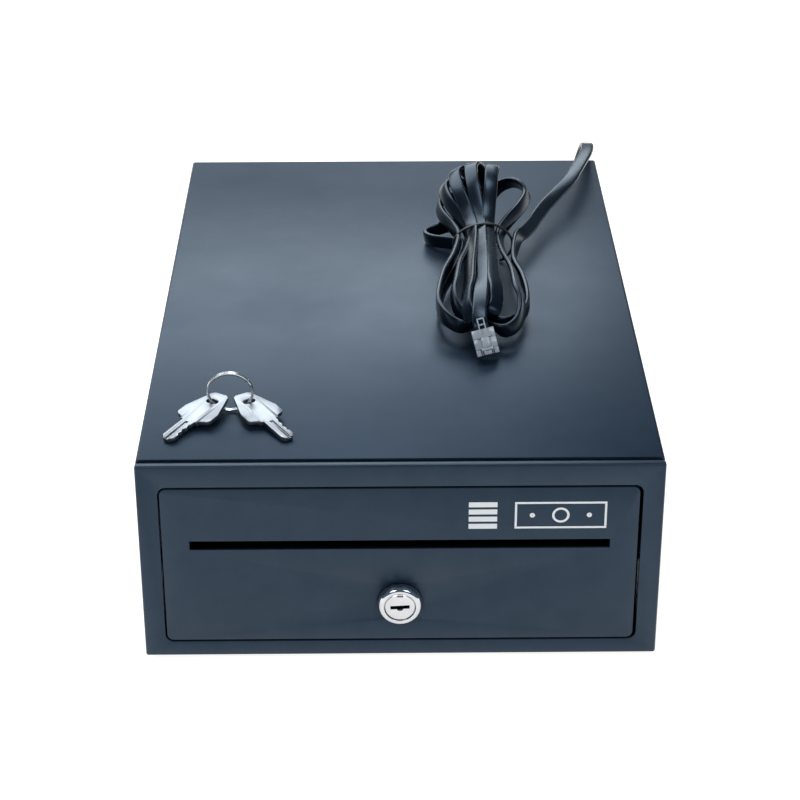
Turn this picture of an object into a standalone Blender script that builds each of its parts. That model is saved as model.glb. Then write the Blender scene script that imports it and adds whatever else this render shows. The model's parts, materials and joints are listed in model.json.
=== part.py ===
"""Small steel cash drawer with its lead, plug and keys, in metres, +Z up.

The front faces -Y and +X is to the right. The origin is on the floor, under the
middle of the case. Run with blender --background --factory-startup --python part.py
"""

import math

import bmesh
import bpy
from mathutils import Matrix, Vector

MM = 0.001
GAP = 0.3 * MM  # what two touching pieces keep between them
WELD = 0.01 * MM  # points closer than this are one point
SHARP_FROM = math.radians(35)

# Case
WIDTH = 240.0 * MM
DEPTH = 365.0 * MM
CASE_HEIGHT = 102.5 * MM
FOOT_HEIGHT = 4.0 * MM
SHEET = 1.0 * MM
BEND = 1.5 * MM  # outer radius where the case's sheet is folded
COVER_RETURN = 12.0 * MM  # flange of the cover round its rear opening
BASE_RIM = 12.0 * MM  # height of the base's side flanges

# Front frame and its opening
FRAME_SHEET = 1.2 * MM
LIP_DEPTH = 4.2 * MM
GROOVE = 2.5 * MM
FLANGE_UNDER_COVER = 9.8 * MM
OPENING_SIDE = 9.75 * MM
OPENING_BELOW = 8.0 * MM
OPENING_ABOVE = 11.0 * MM
OPENING_RADIUS = 4.0 * MM

# Drawer front
PANEL_SHEET = 1.2 * MM
PANEL_GAP = 1.0 * MM
PANEL_SIDE_GAP = 1.2 * MM
PANEL_SHIFT = -0.35 * MM  # the drawer sits a little to the left in its runners
PANEL_DEPTH = 10.5 * MM
SLOT_LENGTH = 193.0 * MM
SLOT_HEIGHT = 4.6 * MM
SLOT_RISE = 60.75 * MM  # middle of the media slot above the case's bottom edge

# Drawer pan and runners
PAN_SHEET = 1.0 * MM
PAN_WALL = 56.5 * MM
PAN_CLEAR_BELOW = 2.5 * MM  # between the opening's lower edge and the pan
RUNNER_PLAY = 0.75 * MM  # between the drawer's rails and the opening
RAIL_SHEET = 1.0 * MM
RAIL_FLANGE = 5.7 * MM
CHANNEL_PLAY = 2.5 * MM  # between the drawer's rail and the channel's web
RUNNER_RISE = 20.0 * MM  # channel floor above the case's bottom edge
CHANNEL_HEADROOM = 3.0 * MM  # above the rollers, for the drawer's rail
ROLLER_RADIUS = 8.0 * MM
ROLLER_WIDTH = 4.0 * MM
STUD_RADIUS = 2.5 * MM
STUD_HEAD = 4.0 * MM
FRONT_ROLLER_BACK = 30.5 * MM  # behind the case's front face
REAR_ROLLER_INSET = 10.0 * MM  # ahead of the pan's rear wall
LATCH_SPACE = 30.2 * MM  # between the pan's rear wall and the case's

# Till insert, coin tray and bill clips
TILL_WALL = 1.8 * MM
TILL_FLOOR = 2.2 * MM
TILL_HEIGHT = 44.0 * MM
TILL_FRONT = 33.5 * MM  # behind the case's front face, which leaves the media pocket
TILL_REAR_SPACE = 21.0 * MM
COIN_LENGTH = 88.4 * MM
BILL_BAYS = 3
COIN_CUPS = 4
CUP_SCOOP = 9.0 * MM
CLIP_ROD_RADIUS = 2.0 * MM
CLIP_ROD_RISE = 32.0 * MM  # above the till's underside
CLIP_ROD_INSET = 14.0 * MM  # ahead of the till's rear end
CLIP_LENGTH = 50.0 * MM
CLIP_WIDTH = 34.0 * MM
CLIP_THICKNESS = 1.8 * MM
CLIP_HUB = 4.2 * MM

# Lock
LOCK_X = -0.4 * MM
LOCK_RISE = 29.4 * MM
BARREL_RADIUS = 8.75 * MM
BEZEL_RIM = 1.7 * MM  # the bezel's overhang past the barrel
BEZEL_STAND = 4.9 * MM
BARREL_LENGTH = 22.0 * MM
PLUG_HEAD = 7.1 * MM
PLUG_RADIUS = 5.9 * MM
PLUG_TAIL = 4.0 * MM
KEYWAY_LENGTH = 8.9 * MM
KEYWAY_WIDTH = 1.8 * MM
KEYWAY_DEPTH = 14.0 * MM
KEYWAY_TILT = math.radians(-3.0)
NUT_RIM = 2.25 * MM  # from the barrel to the nut's flats
NUT_THICKNESS = 3.0 * MM
CAM_REACH = 24.0 * MM
CAM_WIDTH = 10.0 * MM
CAM_THICKNESS = 2.0 * MM
CAM_PLAY = 0.6 * MM  # between the barrel's end and the cam

# Latch
LATCH_TURN = math.radians(20.0)
LATCH_ARM = 17.5 * MM
LINK_ARM = 12.0 * MM
PIVOT_INSET = 6.2 * MM  # ahead of the case's rear wall
PIVOT_RISE = 32.0 * MM  # above the case's bottom edge
PIVOT_RADIUS = 1.8 * MM
PLUNGER_RADIUS = 4.0 * MM
COIL_RADIUS = 10.0 * MM
COIL_HEIGHT = 26.4 * MM

# Lead: a flat cable, made here as a round tube of about the same section
CABLE_WIDTH = 7.4 * MM
CABLE_THICKNESS = 2.5 * MM
TUBE_RADIUS = 2.2 * MM
GLAND_X = 97.0 * MM
GLAND_RISE = 45.0 * MM  # above the case's bottom edge
GLAND_REACH = 7.0 * MM
HANK_LENGTH = 154.0 * MM
HANK_LOBE = 24.0 * MM
HANK_WAIST = 15.5 * MM
HANK_WAIST_BACK = 28.0 * MM  # the tie is this far behind the hank's middle
HANK_HEIGHT = 32.0 * MM
HANK_TURN = math.radians(-2.2)
HANK_AT = (44.3 * MM, 11.0 * MM)
TIE_THICKNESS = 1.2 * MM
TIE_WIDTH = 2.4 * MM
JACK_LENGTH = 12.9 * MM
JACK_WIDTH = 11.0 * MM
JACK_HEIGHT = 7.2 * MM
JACK_SLOPE = math.radians(62.0)
JACK_LEAN = math.radians(14.0)

# Keys
KEY_THICKNESS = 2.0 * MM
KEY_HOLE_LONG = 6.4 * MM
KEY_HOLE_SHORT = 3.8 * MM
KEY_HOLE_FROM_TIP = 35.3 * MM
KEY_HOLE_LIFT = 4.6 * MM  # above the cover, where the ring holds it
KEY_TIP_LIFT = 1.4 * MM
RING_RADIUS = 10.4 * MM
RING_WIRE = 0.8 * MM
RING_LEAN = math.radians(7.0)
RING_AT = (-79.1 * MM, -132.3 * MM)

# Places worked out from the sizes above
BOTTOM = FOOT_HEIGHT
TOP = BOTTOM + CASE_HEIGHT
FRONT = -DEPTH / 2
REAR = DEPTH / 2
HALF = WIDTH / 2
INSIDE_HALF = HALF - SHEET - GAP  # pieces that fit inside the cover
COVER_FRONT = FRONT + LIP_DEPTH + GROOVE
REAR_WALL = REAR - SHEET - GAP - SHEET  # inner face of the base's rear wall
BASE_TOP = BOTTOM + SHEET
FRAME_END = FRONT + LIP_DEPTH + GROOVE + FLANGE_UNDER_COVER
OPENING_HALF = HALF - OPENING_SIDE
OPENING_LOW = BOTTOM + OPENING_BELOW
OPENING_HIGH = TOP - OPENING_ABOVE
PANEL_HALF = OPENING_HALF - PANEL_SIDE_GAP
PANEL_BACK = FRONT + PANEL_SHEET
RAIL_OUT = OPENING_HALF - RUNNER_PLAY
RAIL_IN = RAIL_OUT - RAIL_FLANGE
PAN_HALF = RAIL_IN - GAP
PAN_FRONT = PANEL_BACK + GAP
PAN_REAR = REAR_WALL - LATCH_SPACE
PAN_LOW = OPENING_LOW + PAN_CLEAR_BELOW
PAN_FLOOR = PAN_LOW + PAN_SHEET
CHANNEL_FLOOR = BOTTOM + RUNNER_RISE
CHANNEL_WEB = RAIL_OUT + CHANNEL_PLAY
CHANNEL_TOP = CHANNEL_FLOOR + 2 * ROLLER_RADIUS + CHANNEL_HEADROOM
ROLLER_Z = CHANNEL_FLOOR + GAP + ROLLER_RADIUS
FLANGE_UNDERSIDE = ROLLER_Z + ROLLER_RADIUS + GAP
LOCK_Z = BOTTOM + LOCK_RISE
CAM_Y = FRONT + BARREL_LENGTH + CAM_PLAY
BEZEL_RADIUS = BARREL_RADIUS + BEZEL_RIM
SLOT_Z = BOTTOM + SLOT_RISE
TILL_LOW = PAN_FLOOR + GAP
TILL_TOP = TILL_LOW + TILL_HEIGHT
TILL_HALF = PAN_HALF - PAN_SHEET - 0.8 * MM
TILL_Y0 = FRONT + TILL_FRONT
TILL_Y1 = PAN_REAR - PAN_SHEET - TILL_REAR_SPACE
COIN_Y0 = TILL_Y0 + TILL_WALL
COIN_Y1 = COIN_Y0 + COIN_LENGTH + 2 * GAP
BILL_Y0 = COIN_Y1 + TILL_WALL
BILL_Y1 = TILL_Y1 - TILL_WALL
BAY_FLOOR = TILL_LOW + TILL_FLOOR
ROD_Y = TILL_Y1 - CLIP_ROD_INSET
ROD_Z = TILL_LOW + CLIP_ROD_RISE
CLIP_SLOPE = math.asin((CLIP_ROD_RISE - TILL_FLOOR - CLIP_THICKNESS - GAP) / CLIP_LENGTH)
PIVOT_Y = REAR_WALL - PIVOT_INSET
PIVOT_Z = BOTTOM + PIVOT_RISE
LINK_Y = PIVOT_Y - LINK_ARM + 0.3 * MM
LINK_Z = PIVOT_Z + LINK_ARM * math.sin(LATCH_TURN)
COIL_LOW = LINK_Z + 7.5 * MM
GLAND_Z = BOTTOM + GLAND_RISE

# ---------------------------------------------------------------- shape tools


def start_empty():
    for old in list(bpy.data.objects):
        bpy.data.objects.remove(old, do_unlink=True)
    for name in ("cash_drawer", "cutters"):
        bpy.context.scene.collection.children.link(bpy.data.collections.new(name))


def finish(name, colour, roughness, metallic=0.0):
    made = bpy.data.materials.new(name)
    made.use_nodes = True
    shader = made.node_tree.nodes["Principled BSDF"]
    shader.inputs["Base Color"].default_value = (*colour, 1.0)
    shader.inputs["Roughness"].default_value = roughness
    shader.inputs["Metallic"].default_value = metallic
    return made


def add(name, data, coat=None, at=(0, 0, 0), turn=(0, 0, 0)):
    """Link an object: a part when it has a coat, a cutter when it hasn't."""
    obj = bpy.data.objects.new(name, data)
    obj.location = at
    obj.rotation_euler = turn
    if coat is None:
        bpy.data.collections["cutters"].objects.link(obj)
        obj.hide_render = True
        obj.display_type = "WIRE"
    else:
        bpy.data.collections["cash_drawer"].objects.link(obj)
        data.materials.append(coat)
    return obj


def as_mesh(name, bm, smooth=False):
    mesh = bpy.data.meshes.new(name)
    bmesh.ops.recalc_face_normals(bm, faces=bm.faces)
    bm.to_mesh(mesh)
    bm.free()
    if smooth:
        shade_round(mesh)
    return mesh


def shade_round(mesh):
    mesh.shade_smooth()
    mesh.set_sharp_from_angle(angle=SHARP_FROM)


def block(name, low, high, coat=None, radius=0.0, steps=3, chosen=None):
    """A box between two corners. chosen(middle, direction) picks the edges to round."""
    low, high = Vector(low), Vector(high)
    size = high - low
    bm = bmesh.new()
    bmesh.ops.create_cube(bm, size=1.0)
    bmesh.ops.scale(bm, vec=size, verts=bm.verts)
    if radius:
        edges = []
        for edge in bm.edges:
            middle = (edge.verts[0].co + edge.verts[1].co) / 2
            direction = (edge.verts[1].co - edge.verts[0].co).normalized()
            if chosen is None or chosen(middle, direction):
                edges.append(edge)
        bmesh.ops.bevel(bm, geom=edges, offset=radius, segments=steps, profile=0.5, affect="EDGES")
    return add(name, as_mesh(name, bm, smooth=bool(radius)), coat, at=(low + high) / 2)


def along_y(middle, direction):
    return abs(direction.y) > 0.9


def rod(name, radius, start, end, coat=None, sides=24):
    """A cylinder between two points."""
    start, end = Vector(start), Vector(end)
    bm = bmesh.new()
    bmesh.ops.create_cone(
        bm, cap_ends=True, segments=sides, radius1=radius, radius2=radius,
        depth=(end - start).length,
    )
    obj = add(name, as_mesh(name, bm, smooth=True), coat, at=(start + end) / 2)
    obj.rotation_euler = (end - start).to_track_quat("Z", "Y").to_euler()
    return obj


def applied(obj):
    """The object's mesh as its modifiers, or its curve, leave it."""
    bpy.context.view_layer.update()
    graph = bpy.context.evaluated_depsgraph_get()
    return bpy.data.meshes.new_from_object(obj.evaluated_get(graph))


def turned(name, profile, coat, at, turn=(0, 0, 0), steps=32):
    """A profile of (radius, height) points, turned round the local Z axis."""
    mesh = bpy.data.meshes.new(name)
    points = [(radius, 0.0, height) for radius, height in profile]
    on_axis = profile[0][0] == 0.0
    count = len(points) if not on_axis else len(points) - 1
    edges = [(i, (i + 1) % len(points)) for i in range(count)]
    mesh.from_pydata(points, edges, [])
    obj = add(name, mesh, coat, at, turn)
    screw = obj.modifiers.new("turn", "SCREW")
    screw.steps = screw.render_steps = steps
    screw.use_merge_vertices = True
    screw.merge_threshold = WELD
    obj.data = applied(obj)
    obj.modifiers.clear()
    shade_round(obj.data)
    return obj


def curve_to_mesh(obj):
    """Replace a curve object by its closed mesh, so that it can be cut or joined."""
    mesh = applied(obj)
    bm = bmesh.new()
    bm.from_mesh(mesh)
    bmesh.ops.remove_doubles(bm, verts=bm.verts, dist=WELD)
    bmesh.ops.recalc_face_normals(bm, faces=bm.faces)
    bm.to_mesh(mesh)
    bm.free()
    made = bpy.data.objects.new(obj.name + "_mesh", mesh)
    made.matrix_world = obj.matrix_world
    made.hide_render = obj.hide_render
    made.display_type = obj.display_type
    obj.users_collection[0].objects.link(made)
    name = obj.name
    bpy.data.objects.remove(obj, do_unlink=True)
    made.name = name
    return made


def plate(name, outline, thickness, coat, at, turn=(0, 0, 0)):
    """A flat outline in the local XY plane, half its thickness to each side."""
    data = bpy.data.curves.new(name, "CURVE")
    data.dimensions = "2D"
    data.fill_mode = "BOTH"
    data.extrude = thickness / 2
    line = data.splines.new("POLY")
    line.points.add(len(outline) - 1)
    for point, (x, y) in zip(line.points, outline):
        point.co = (x, y, 0.0, 1.0)
    line.use_cyclic_u = True
    return curve_to_mesh(add(name, data, coat, at, turn))


def tube(name, points, radius, coat, resolution=2):
    data = bpy.data.curves.new(name, "CURVE")
    data.dimensions = "3D"
    data.bevel_depth = radius
    data.bevel_resolution = resolution
    data.use_fill_caps = True
    line = data.splines.new("POLY")
    line.points.add(len(points) - 1)
    for point, place in zip(line.points, points):
        point.co = (*place, 1.0)
    return add(name, data, coat)


def strip(name, section, x0, x1, thickness, coat):
    """A bent sheet: an open (y, z) section drawn from x0 to x1 and thickened."""
    bm = bmesh.new()
    near = [bm.verts.new((x0, y, z)) for y, z in section]
    edges = [bm.edges.new(pair) for pair in zip(near, near[1:])]
    moved = bmesh.ops.extrude_edge_only(bm, edges=edges)["geom"]
    verts = [item for item in moved if isinstance(item, bmesh.types.BMVert)]
    bmesh.ops.translate(bm, vec=(x1 - x0, 0, 0), verts=verts)
    obj = add(name, as_mesh(name, bm), coat)
    solid = obj.modifiers.new("sheet", "SOLIDIFY")
    solid.thickness = thickness
    solid.offset = 0.0
    solid.use_even_offset = True
    return obj


def combine(obj, operation, *others):
    for other in others:
        step = obj.modifiers.new(operation.lower(), "BOOLEAN")
        step.operation = operation
        step.solver = "EXACT"
        step.object = other
    return obj


def cut(obj, *cutters):
    return combine(obj, "DIFFERENCE", *cutters)


def join(obj, *pieces):
    return combine(obj, "UNION", *pieces)


def arc(centre, radius, start, end, steps):
    """Points on an arc, from angle start to end in degrees."""
    angles = [math.radians(start + (end - start) * i / steps) for i in range(steps + 1)]
    return [
        (centre[0] + radius * math.cos(angle), centre[1] + radius * math.sin(angle))
        for angle in angles
    ]


def smooth_route(route, spacing):
    """Points about every spacing along a smooth curve through the route's points."""
    route = [Vector(point) for point in route]
    padded = [2 * route[0] - route[1], *route, 2 * route[-1] - route[-2]]
    made = []
    for before, start, end, after in zip(padded, padded[1:], padded[2:], padded[3:]):
        steps = max(1, round((end - start).length / spacing))
        for i in range(steps):
            t = i / steps
            made.append(
                0.5 * (
                    2 * start
                    + (end - before) * t
                    + (2 * before - 5 * start + 4 * end - after) * t * t
                    + (3 * start - before - 3 * end + after) * t * t * t
                )
            )
    return made + [route[-1]]


def helix(radius, length, turns, per_turn, start=0.0):
    """Points of a coil about the local Z axis."""
    count = round(turns * per_turn)
    return [
        Vector((
            radius * math.cos(start + 2 * math.pi * i / per_turn),
            radius * math.sin(start + 2 * math.pi * i / per_turn),
            length * (i / count - 0.5),
        ))
        for i in range(count + 1)
    ]


def pivot(name, at):
    """An empty on a joint's axis, which carries the pieces that move with it."""
    empty = bpy.data.objects.new(name, None)
    empty.location = at
    bpy.data.collections["cash_drawer"].objects.link(empty)
    return empty


def carry(parent, *children):
    for child in children:
        child.parent = parent
        child.matrix_parent_inverse = Matrix.Translation(-parent.location)


# ---------------------------------------------------------------- case


def make_cover(coat):
    cover = block(
        "top_cover", (-HALF, COVER_FRONT, BOTTOM), (HALF, REAR, TOP), coat, BEND,
        chosen=lambda middle, direction: along_y(middle, direction) and middle.z > 0,
    )
    inside = block(
        "cover_inside", (SHEET - HALF, FRONT, 0), (HALF - SHEET, REAR - SHEET, TOP - SHEET)
    )
    way = COVER_RETURN + SHEET
    rear_way = block("cover_rear_way", (way - HALF, 0, 0), (HALF - way, REAR * 2, TOP - way))
    holes = [
        rod(name + "_hole", 1.7 * MM, (x, REAR - 5 * MM, z), (x, REAR + 5 * MM, z))
        for name, x, z in cover_screw_places()
    ]
    return cut(cover, inside, rear_way, *holes)


def cover_screw_places():
    side = HALF - SHEET - COVER_RETURN / 2
    high = TOP - SHEET - COVER_RETURN / 2
    return [
        ("cover_screw_left_high", -0.7 * side, high),
        ("cover_screw_right_high", 0.7 * side, high),
        ("cover_screw_left_low", -side, BOTTOM + 26 * MM),
        ("cover_screw_right_low", side, BOTTOM + 26 * MM),
    ]


def make_cover_screws(coat):
    """Pan-head screws; local +Z points out of the rear wall."""
    head, shank, reach = 3.0 * MM, 1.3 * MM, 5.0 * MM
    profile = [
        (0, 2.1 * MM), (1.6 * MM, 1.9 * MM), (2.6 * MM, 1.2 * MM), (head, 0.3 * MM),
        (head, GAP), (shank, GAP), (shank, -reach), (0, -reach),
    ]
    for name, x, z in cover_screw_places():
        screw = turned(name, profile, coat, (x, REAR, z), (math.radians(-90), 0, 0), steps=14)
        arms = [
            block(name + "_cross_a", (x - 1.6 * MM, REAR + 1.1 * MM, z - GAP),
                  (x + 1.6 * MM, REAR + 4 * MM, z + GAP)),
            block(name + "_cross_b", (x - GAP, REAR + 1.1 * MM, z - 1.6 * MM),
                  (x + GAP, REAR + 4 * MM, z + 1.6 * MM)),
        ]
        cut(screw, *arms)


def foot_places():
    x, y = HALF - 28 * MM, REAR - 32 * MM
    return [
        ("foot_front_left", -x, -y), ("foot_front_right", x, -y),
        ("foot_rear_left", -x, y), ("foot_rear_right", x, y),
    ]


def make_base(coat):
    base = block(
        "base_pan", (-INSIDE_HALF, COVER_FRONT, BOTTOM),
        (INSIDE_HALF, REAR_WALL + SHEET, TOP - SHEET - GAP), coat,
    )
    inner = INSIDE_HALF - SHEET
    inside = block("base_inside", (-inner, FRONT, BASE_TOP), (inner, REAR_WALL, TOP))
    rim = block(
        "base_above_rim", (-HALF, FRONT, BASE_TOP + BASE_RIM), (HALF, REAR_WALL, TOP)
    )
    nose = block(
        "base_nose", (-HALF, FRONT, BASE_TOP), (HALF, FRAME_END + GAP, TOP)
    )
    holes = [
        rod(name + "_hole", 2.5 * MM, (x, y, 0), (x, y, BASE_TOP + 2 * MM))
        for name, x, y in foot_places()
    ]
    holes += [
        rod(name + "_bore", 1.7 * MM, (x, REAR_WALL - 5 * MM, z), (x, REAR, z))
        for name, x, z in cover_screw_places()
    ]
    gland_hole = block(
        "gland_hole", (GLAND_X - 6.3 * MM, REAR_WALL - 5 * MM, GLAND_Z - 4.0 * MM),
        (GLAND_X + 6.3 * MM, REAR, GLAND_Z + 4.0 * MM),
    )
    return cut(base, inside, rim, nose, gland_hole, *holes)


def make_feet(coat):
    """Rubber feet, each held by a barb pressed up through the base."""
    neck, barb = 2.2 * MM, 3.2 * MM
    profile = [
        (0, BASE_TOP + GAP + 1.2 * MM), (barb - 1 * MM, BASE_TOP + GAP + 1.2 * MM),
        (barb, BASE_TOP + GAP), (neck, BASE_TOP + GAP), (neck, BOTTOM - GAP),
        (9.0 * MM, BOTTOM - GAP), (9.0 * MM, BOTTOM - 1.5 * MM), (8.2 * MM, 0), (0, 0),
    ]
    for name, x, y in foot_places():
        turned(name, profile, coat, (x, y, 0), steps=20)


def make_front_frame(coat):
    frame = block(
        "front_frame", (-HALF, FRONT, BOTTOM), (HALF, FRONT + LIP_DEPTH, TOP), coat, 1.0 * MM,
        steps=2,
    )
    step = SHEET + GAP
    flange = block(
        "frame_flange", (step - HALF, FRONT + LIP_DEPTH / 2, BOTTOM + step),
        (HALF - step, FRAME_END, TOP - step),
    )
    wall = step + FRAME_SHEET
    inside = block(
        "frame_inside", (wall - HALF, FRONT + FRAME_SHEET, BOTTOM + wall),
        (HALF - wall, FRAME_END + 5 * MM, TOP - wall),
    )
    opening = block(
        "frame_opening", (-OPENING_HALF, FRONT - 5 * MM, OPENING_LOW),
        (OPENING_HALF, FRONT + 3 * MM, OPENING_HIGH), None, OPENING_RADIUS, 5, along_y,
    )
    return cut(join(frame, flange), inside, opening)


def make_rail(side, coat):
    """An angle with its roller stud near the front, on the left (-1) or right (+1), and the
    two strips welded to it: the track that the drawer's roller runs on, and the hold-down."""
    hand = "right" if side > 0 else "left"
    name = "rail_" + hand
    web_out = CHANNEL_WEB + RAIL_SHEET
    inner = RAIL_IN + 1.8 * MM
    foot_out = INSIDE_HALF - SHEET - 0.5 * MM
    low = BASE_TOP + GAP
    top = CHANNEL_TOP + RAIL_SHEET
    section = [
        (CHANNEL_WEB, top), (web_out, top), (web_out, low + RAIL_SHEET),
        (foot_out, low + RAIL_SHEET), (foot_out, low), (CHANNEL_WEB, low),
    ]
    y0, y1 = FRAME_END + 3 * MM, REAR_WALL - 4.2 * MM
    rail = drawn_along_y(name, section, side, y0, y1, coat)
    for strip, z in (("track_", CHANNEL_FLOOR - RAIL_SHEET), ("hold_down_", CHANNEL_TOP)):
        low_end = (min(side * inner, side * (CHANNEL_WEB - GAP)), y0, z)
        high_end = (max(side * inner, side * (CHANNEL_WEB - GAP)), y1, z + RAIL_SHEET)
        block(strip + hand, low_end, high_end, coat)
    y = FRONT + FRONT_ROLLER_BACK
    head = RAIL_IN + RAIL_SHEET + 0.4 * MM
    join(rail, *make_stud(name, side, y, CHANNEL_WEB + 0.5 * MM, head))
    make_roller(
        "roller_case_right" if side > 0 else "roller_case_left",
        side * (head + 0.9 * MM + ROLLER_WIDTH / 2), y,
    )


def drawn_along_y(name, section, side, y0, y1, coat):
    """A bar of constant (x, z) section, mirrored to the left when side is -1."""
    outline = [(side * x, z) for x, z in section]
    return plate(name, outline, y1 - y0, coat, (0, (y0 + y1) / 2, 0), (math.radians(90), 0, 0))


def make_stud(name, side, y, root, head):
    """A riveted stud along X, from inside its rail's web to a thin head."""
    stud = rod(name + "_stud", STUD_RADIUS, (side * root, y, ROLLER_Z),
               (side * (head + 0.3 * MM), y, ROLLER_Z))
    cap = rod(name + "_stud_head", STUD_HEAD, (side * head, y, ROLLER_Z),
              (side * (head + 0.6 * MM), y, ROLLER_Z))
    return stud, cap


def make_roller(name, x, y):
    """A plain nylon wheel on a stud along X."""
    half, bore = ROLLER_WIDTH / 2, STUD_RADIUS + GAP
    profile = [
        (ROLLER_RADIUS, half - 0.5 * MM), (ROLLER_RADIUS, 0.5 * MM - half),
        (ROLLER_RADIUS - 0.5 * MM, -half), (bore, -half), (bore, half),
        (ROLLER_RADIUS - 0.5 * MM, half),
    ]
    return turned(name, profile, NYLON, (x, y, ROLLER_Z), (0, math.radians(90), 0), steps=24)


def make_lock_keeper(coat):
    front = FRAME_END + 2.8 * MM
    foot_top = BASE_TOP + GAP + SHEET
    half = 12 * MM
    section = [
        (front + 11 * MM, foot_top - SHEET / 2), (front + SHEET / 2, foot_top - SHEET / 2),
        (front + SHEET / 2, PAN_LOW - 1.3 * MM),
    ]
    return strip("lock_keeper", section, LOCK_X - half, LOCK_X + half, SHEET, coat)


def make_gland(coat):
    """The bush in the rear wall that the lead comes out of."""
    out = REAR + GLAND_REACH
    gland = block(
        "cord_gland", (GLAND_X - 5.9 * MM, REAR_WALL - 2.0 * MM, GLAND_Z - 3.6 * MM),
        (GLAND_X + 5.9 * MM, out, GLAND_Z + 3.6 * MM), coat, 1.5 * MM, 2, along_y,
    )
    outer = block(
        "gland_outer_flange",
        (GLAND_X - 8 * MM, REAR_WALL + SHEET + GAP, GLAND_Z - 5.6 * MM),
        (GLAND_X + 8 * MM, REAR_WALL + SHEET + 2.3 * MM, GLAND_Z + 5.6 * MM), None,
        2.0 * MM, 2, along_y,
    )
    inner = block(
        "gland_inner_flange", (GLAND_X - 7.2 * MM, REAR_WALL - 2.0 * MM, GLAND_Z - 4.8 * MM),
        (GLAND_X + 7.2 * MM, REAR_WALL - GAP, GLAND_Z + 4.8 * MM), None,
        1.5 * MM, 2, along_y,
    )
    way = block(
        "gland_way",
        (GLAND_X - CABLE_WIDTH / 2 - GAP, 0, GLAND_Z - CABLE_THICKNESS / 2 - GAP),
        (GLAND_X + CABLE_WIDTH / 2 + GAP, DEPTH, GLAND_Z + CABLE_THICKNESS / 2 + GAP),
    )
    return cut(join(gland, outer, inner), way)


# ---------------------------------------------------------------- latch and switch


def make_latch(steel, copper, spring_steel):
    cheek, side_x = 1.2 * MM, 14.8 * MM
    front, back = LINK_Y - 9.6 * MM, REAR_WALL - 0.8 * MM
    low, high = BASE_TOP + GAP, COIL_LOW + COIL_HEIGHT + 3.5 * MM
    bracket = block(
        "latch_bracket", (-side_x - cheek, front, low), (side_x + cheek, back, high), steel
    )
    cut(
        bracket,
        block("bracket_inside", (-side_x, 0, low + cheek), (side_x, back - cheek, TOP)),
        rod("bracket_pivot_bore", PIVOT_RADIUS + GAP, (-HALF, PIVOT_Y, PIVOT_Z),
            (HALF, PIVOT_Y, PIVOT_Z)),
    )
    reach = side_x + cheek + 0.8 * MM
    rod("latch_pivot", PIVOT_RADIUS, (-reach, PIVOT_Y, PIVOT_Z), (reach, PIVOT_Y, PIVOT_Z), steel,
        sides=20)

    # The solenoid hangs between the cheeks, with its plunger pointing down.
    frame_x, wall = side_x - GAP, 1.5 * MM
    top = COIL_LOW + COIL_HEIGHT
    frame = block(
        "solenoid_frame", (-frame_x, LINK_Y - 9 * MM, COIL_LOW - GAP - wall),
        (frame_x, LINK_Y + 9 * MM, top + GAP + wall), steel,
    )
    cut(
        frame,
        block("solenoid_window", (wall - frame_x, 0, COIL_LOW - GAP),
              (frame_x - wall, DEPTH, top + GAP)),
        rod("solenoid_plunger_way", PLUNGER_RADIUS + GAP, (0, LINK_Y, 0), (0, LINK_Y, COIL_LOW)),
    )
    bore = PLUNGER_RADIUS + GAP
    rim = 1.2 * MM
    profile = [
        (COIL_RADIUS, COIL_HEIGHT), (COIL_RADIUS, COIL_HEIGHT - rim),
        (COIL_RADIUS - rim, COIL_HEIGHT - rim), (COIL_RADIUS - rim, rim),
        (COIL_RADIUS, rim), (COIL_RADIUS, 0), (bore, 0), (bore, COIL_HEIGHT),
    ]
    turned("solenoid_coil", profile, copper, (0, LINK_Y, COIL_LOW))

    # Plunger: a round bar with a fork and a cross pin at its lower end.
    fork_low = LINK_Z - 2.8 * MM
    plunger = rod("plunger", PLUNGER_RADIUS, (0, LINK_Y, fork_low),
                  (0, LINK_Y, COIL_LOW + COIL_HEIGHT - 5 * MM), steel)
    cut(plunger, block("plunger_fork", (-2.9 * MM, 0, 0),
                       (2.9 * MM, DEPTH, LINK_Z + 5.4 * MM)))
    join(plunger, rod("plunger_link_pin", 1.3 * MM, (-3.4 * MM, LINK_Y, LINK_Z),
                      (3.4 * MM, LINK_Y, LINK_Z), sides=16))
    carry(pivot("plunger_motion", (0, LINK_Y, LINK_Z)), plunger)

    # Hook: local X runs back along +Y and local Y up, seen from the side.
    tooth_y, half_arm = -LATCH_ARM, 2.6 * MM
    outline = [
        *arc((0, 0), 3.6 * MM, -130, 130, 14),
        (tooth_y, half_arm), (tooth_y, -9 * MM), (tooth_y + 3 * MM, -9 * MM),
        (tooth_y + 3 * MM, -half_arm),
    ]
    hook = plate("latch_hook", outline, 5 * MM, steel, (0, PIVOT_Y, PIVOT_Z),
                 (math.radians(90), 0, math.radians(90)))
    cut(
        hook,
        rod("hook_bore", PIVOT_RADIUS + GAP, (-HALF, PIVOT_Y, PIVOT_Z),
            (HALF, PIVOT_Y, PIVOT_Z)),
        rod("hook_link_hole", 2.0 * MM, (-HALF, PIVOT_Y - LINK_ARM, PIVOT_Z),
            (HALF, PIVOT_Y - LINK_ARM, PIVOT_Z)),
    )
    swing = pivot("hook_motion", (0, PIVOT_Y, PIVOT_Z))
    for piece in (hook, bpy.data.objects["hook_bore"], bpy.data.objects["hook_link_hole"]):
        carry(swing, piece)
    swing.rotation_euler = (-LATCH_TURN, 0, 0)

    spring = tube("latch_spring", helix(3.2 * MM, 6 * MM, 5, 12), 0.4 * MM, spring_steel, 0)
    spring.location = (8.5 * MM, PIVOT_Y, PIVOT_Z)
    spring.rotation_euler = (0, math.radians(90), 0)


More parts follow.
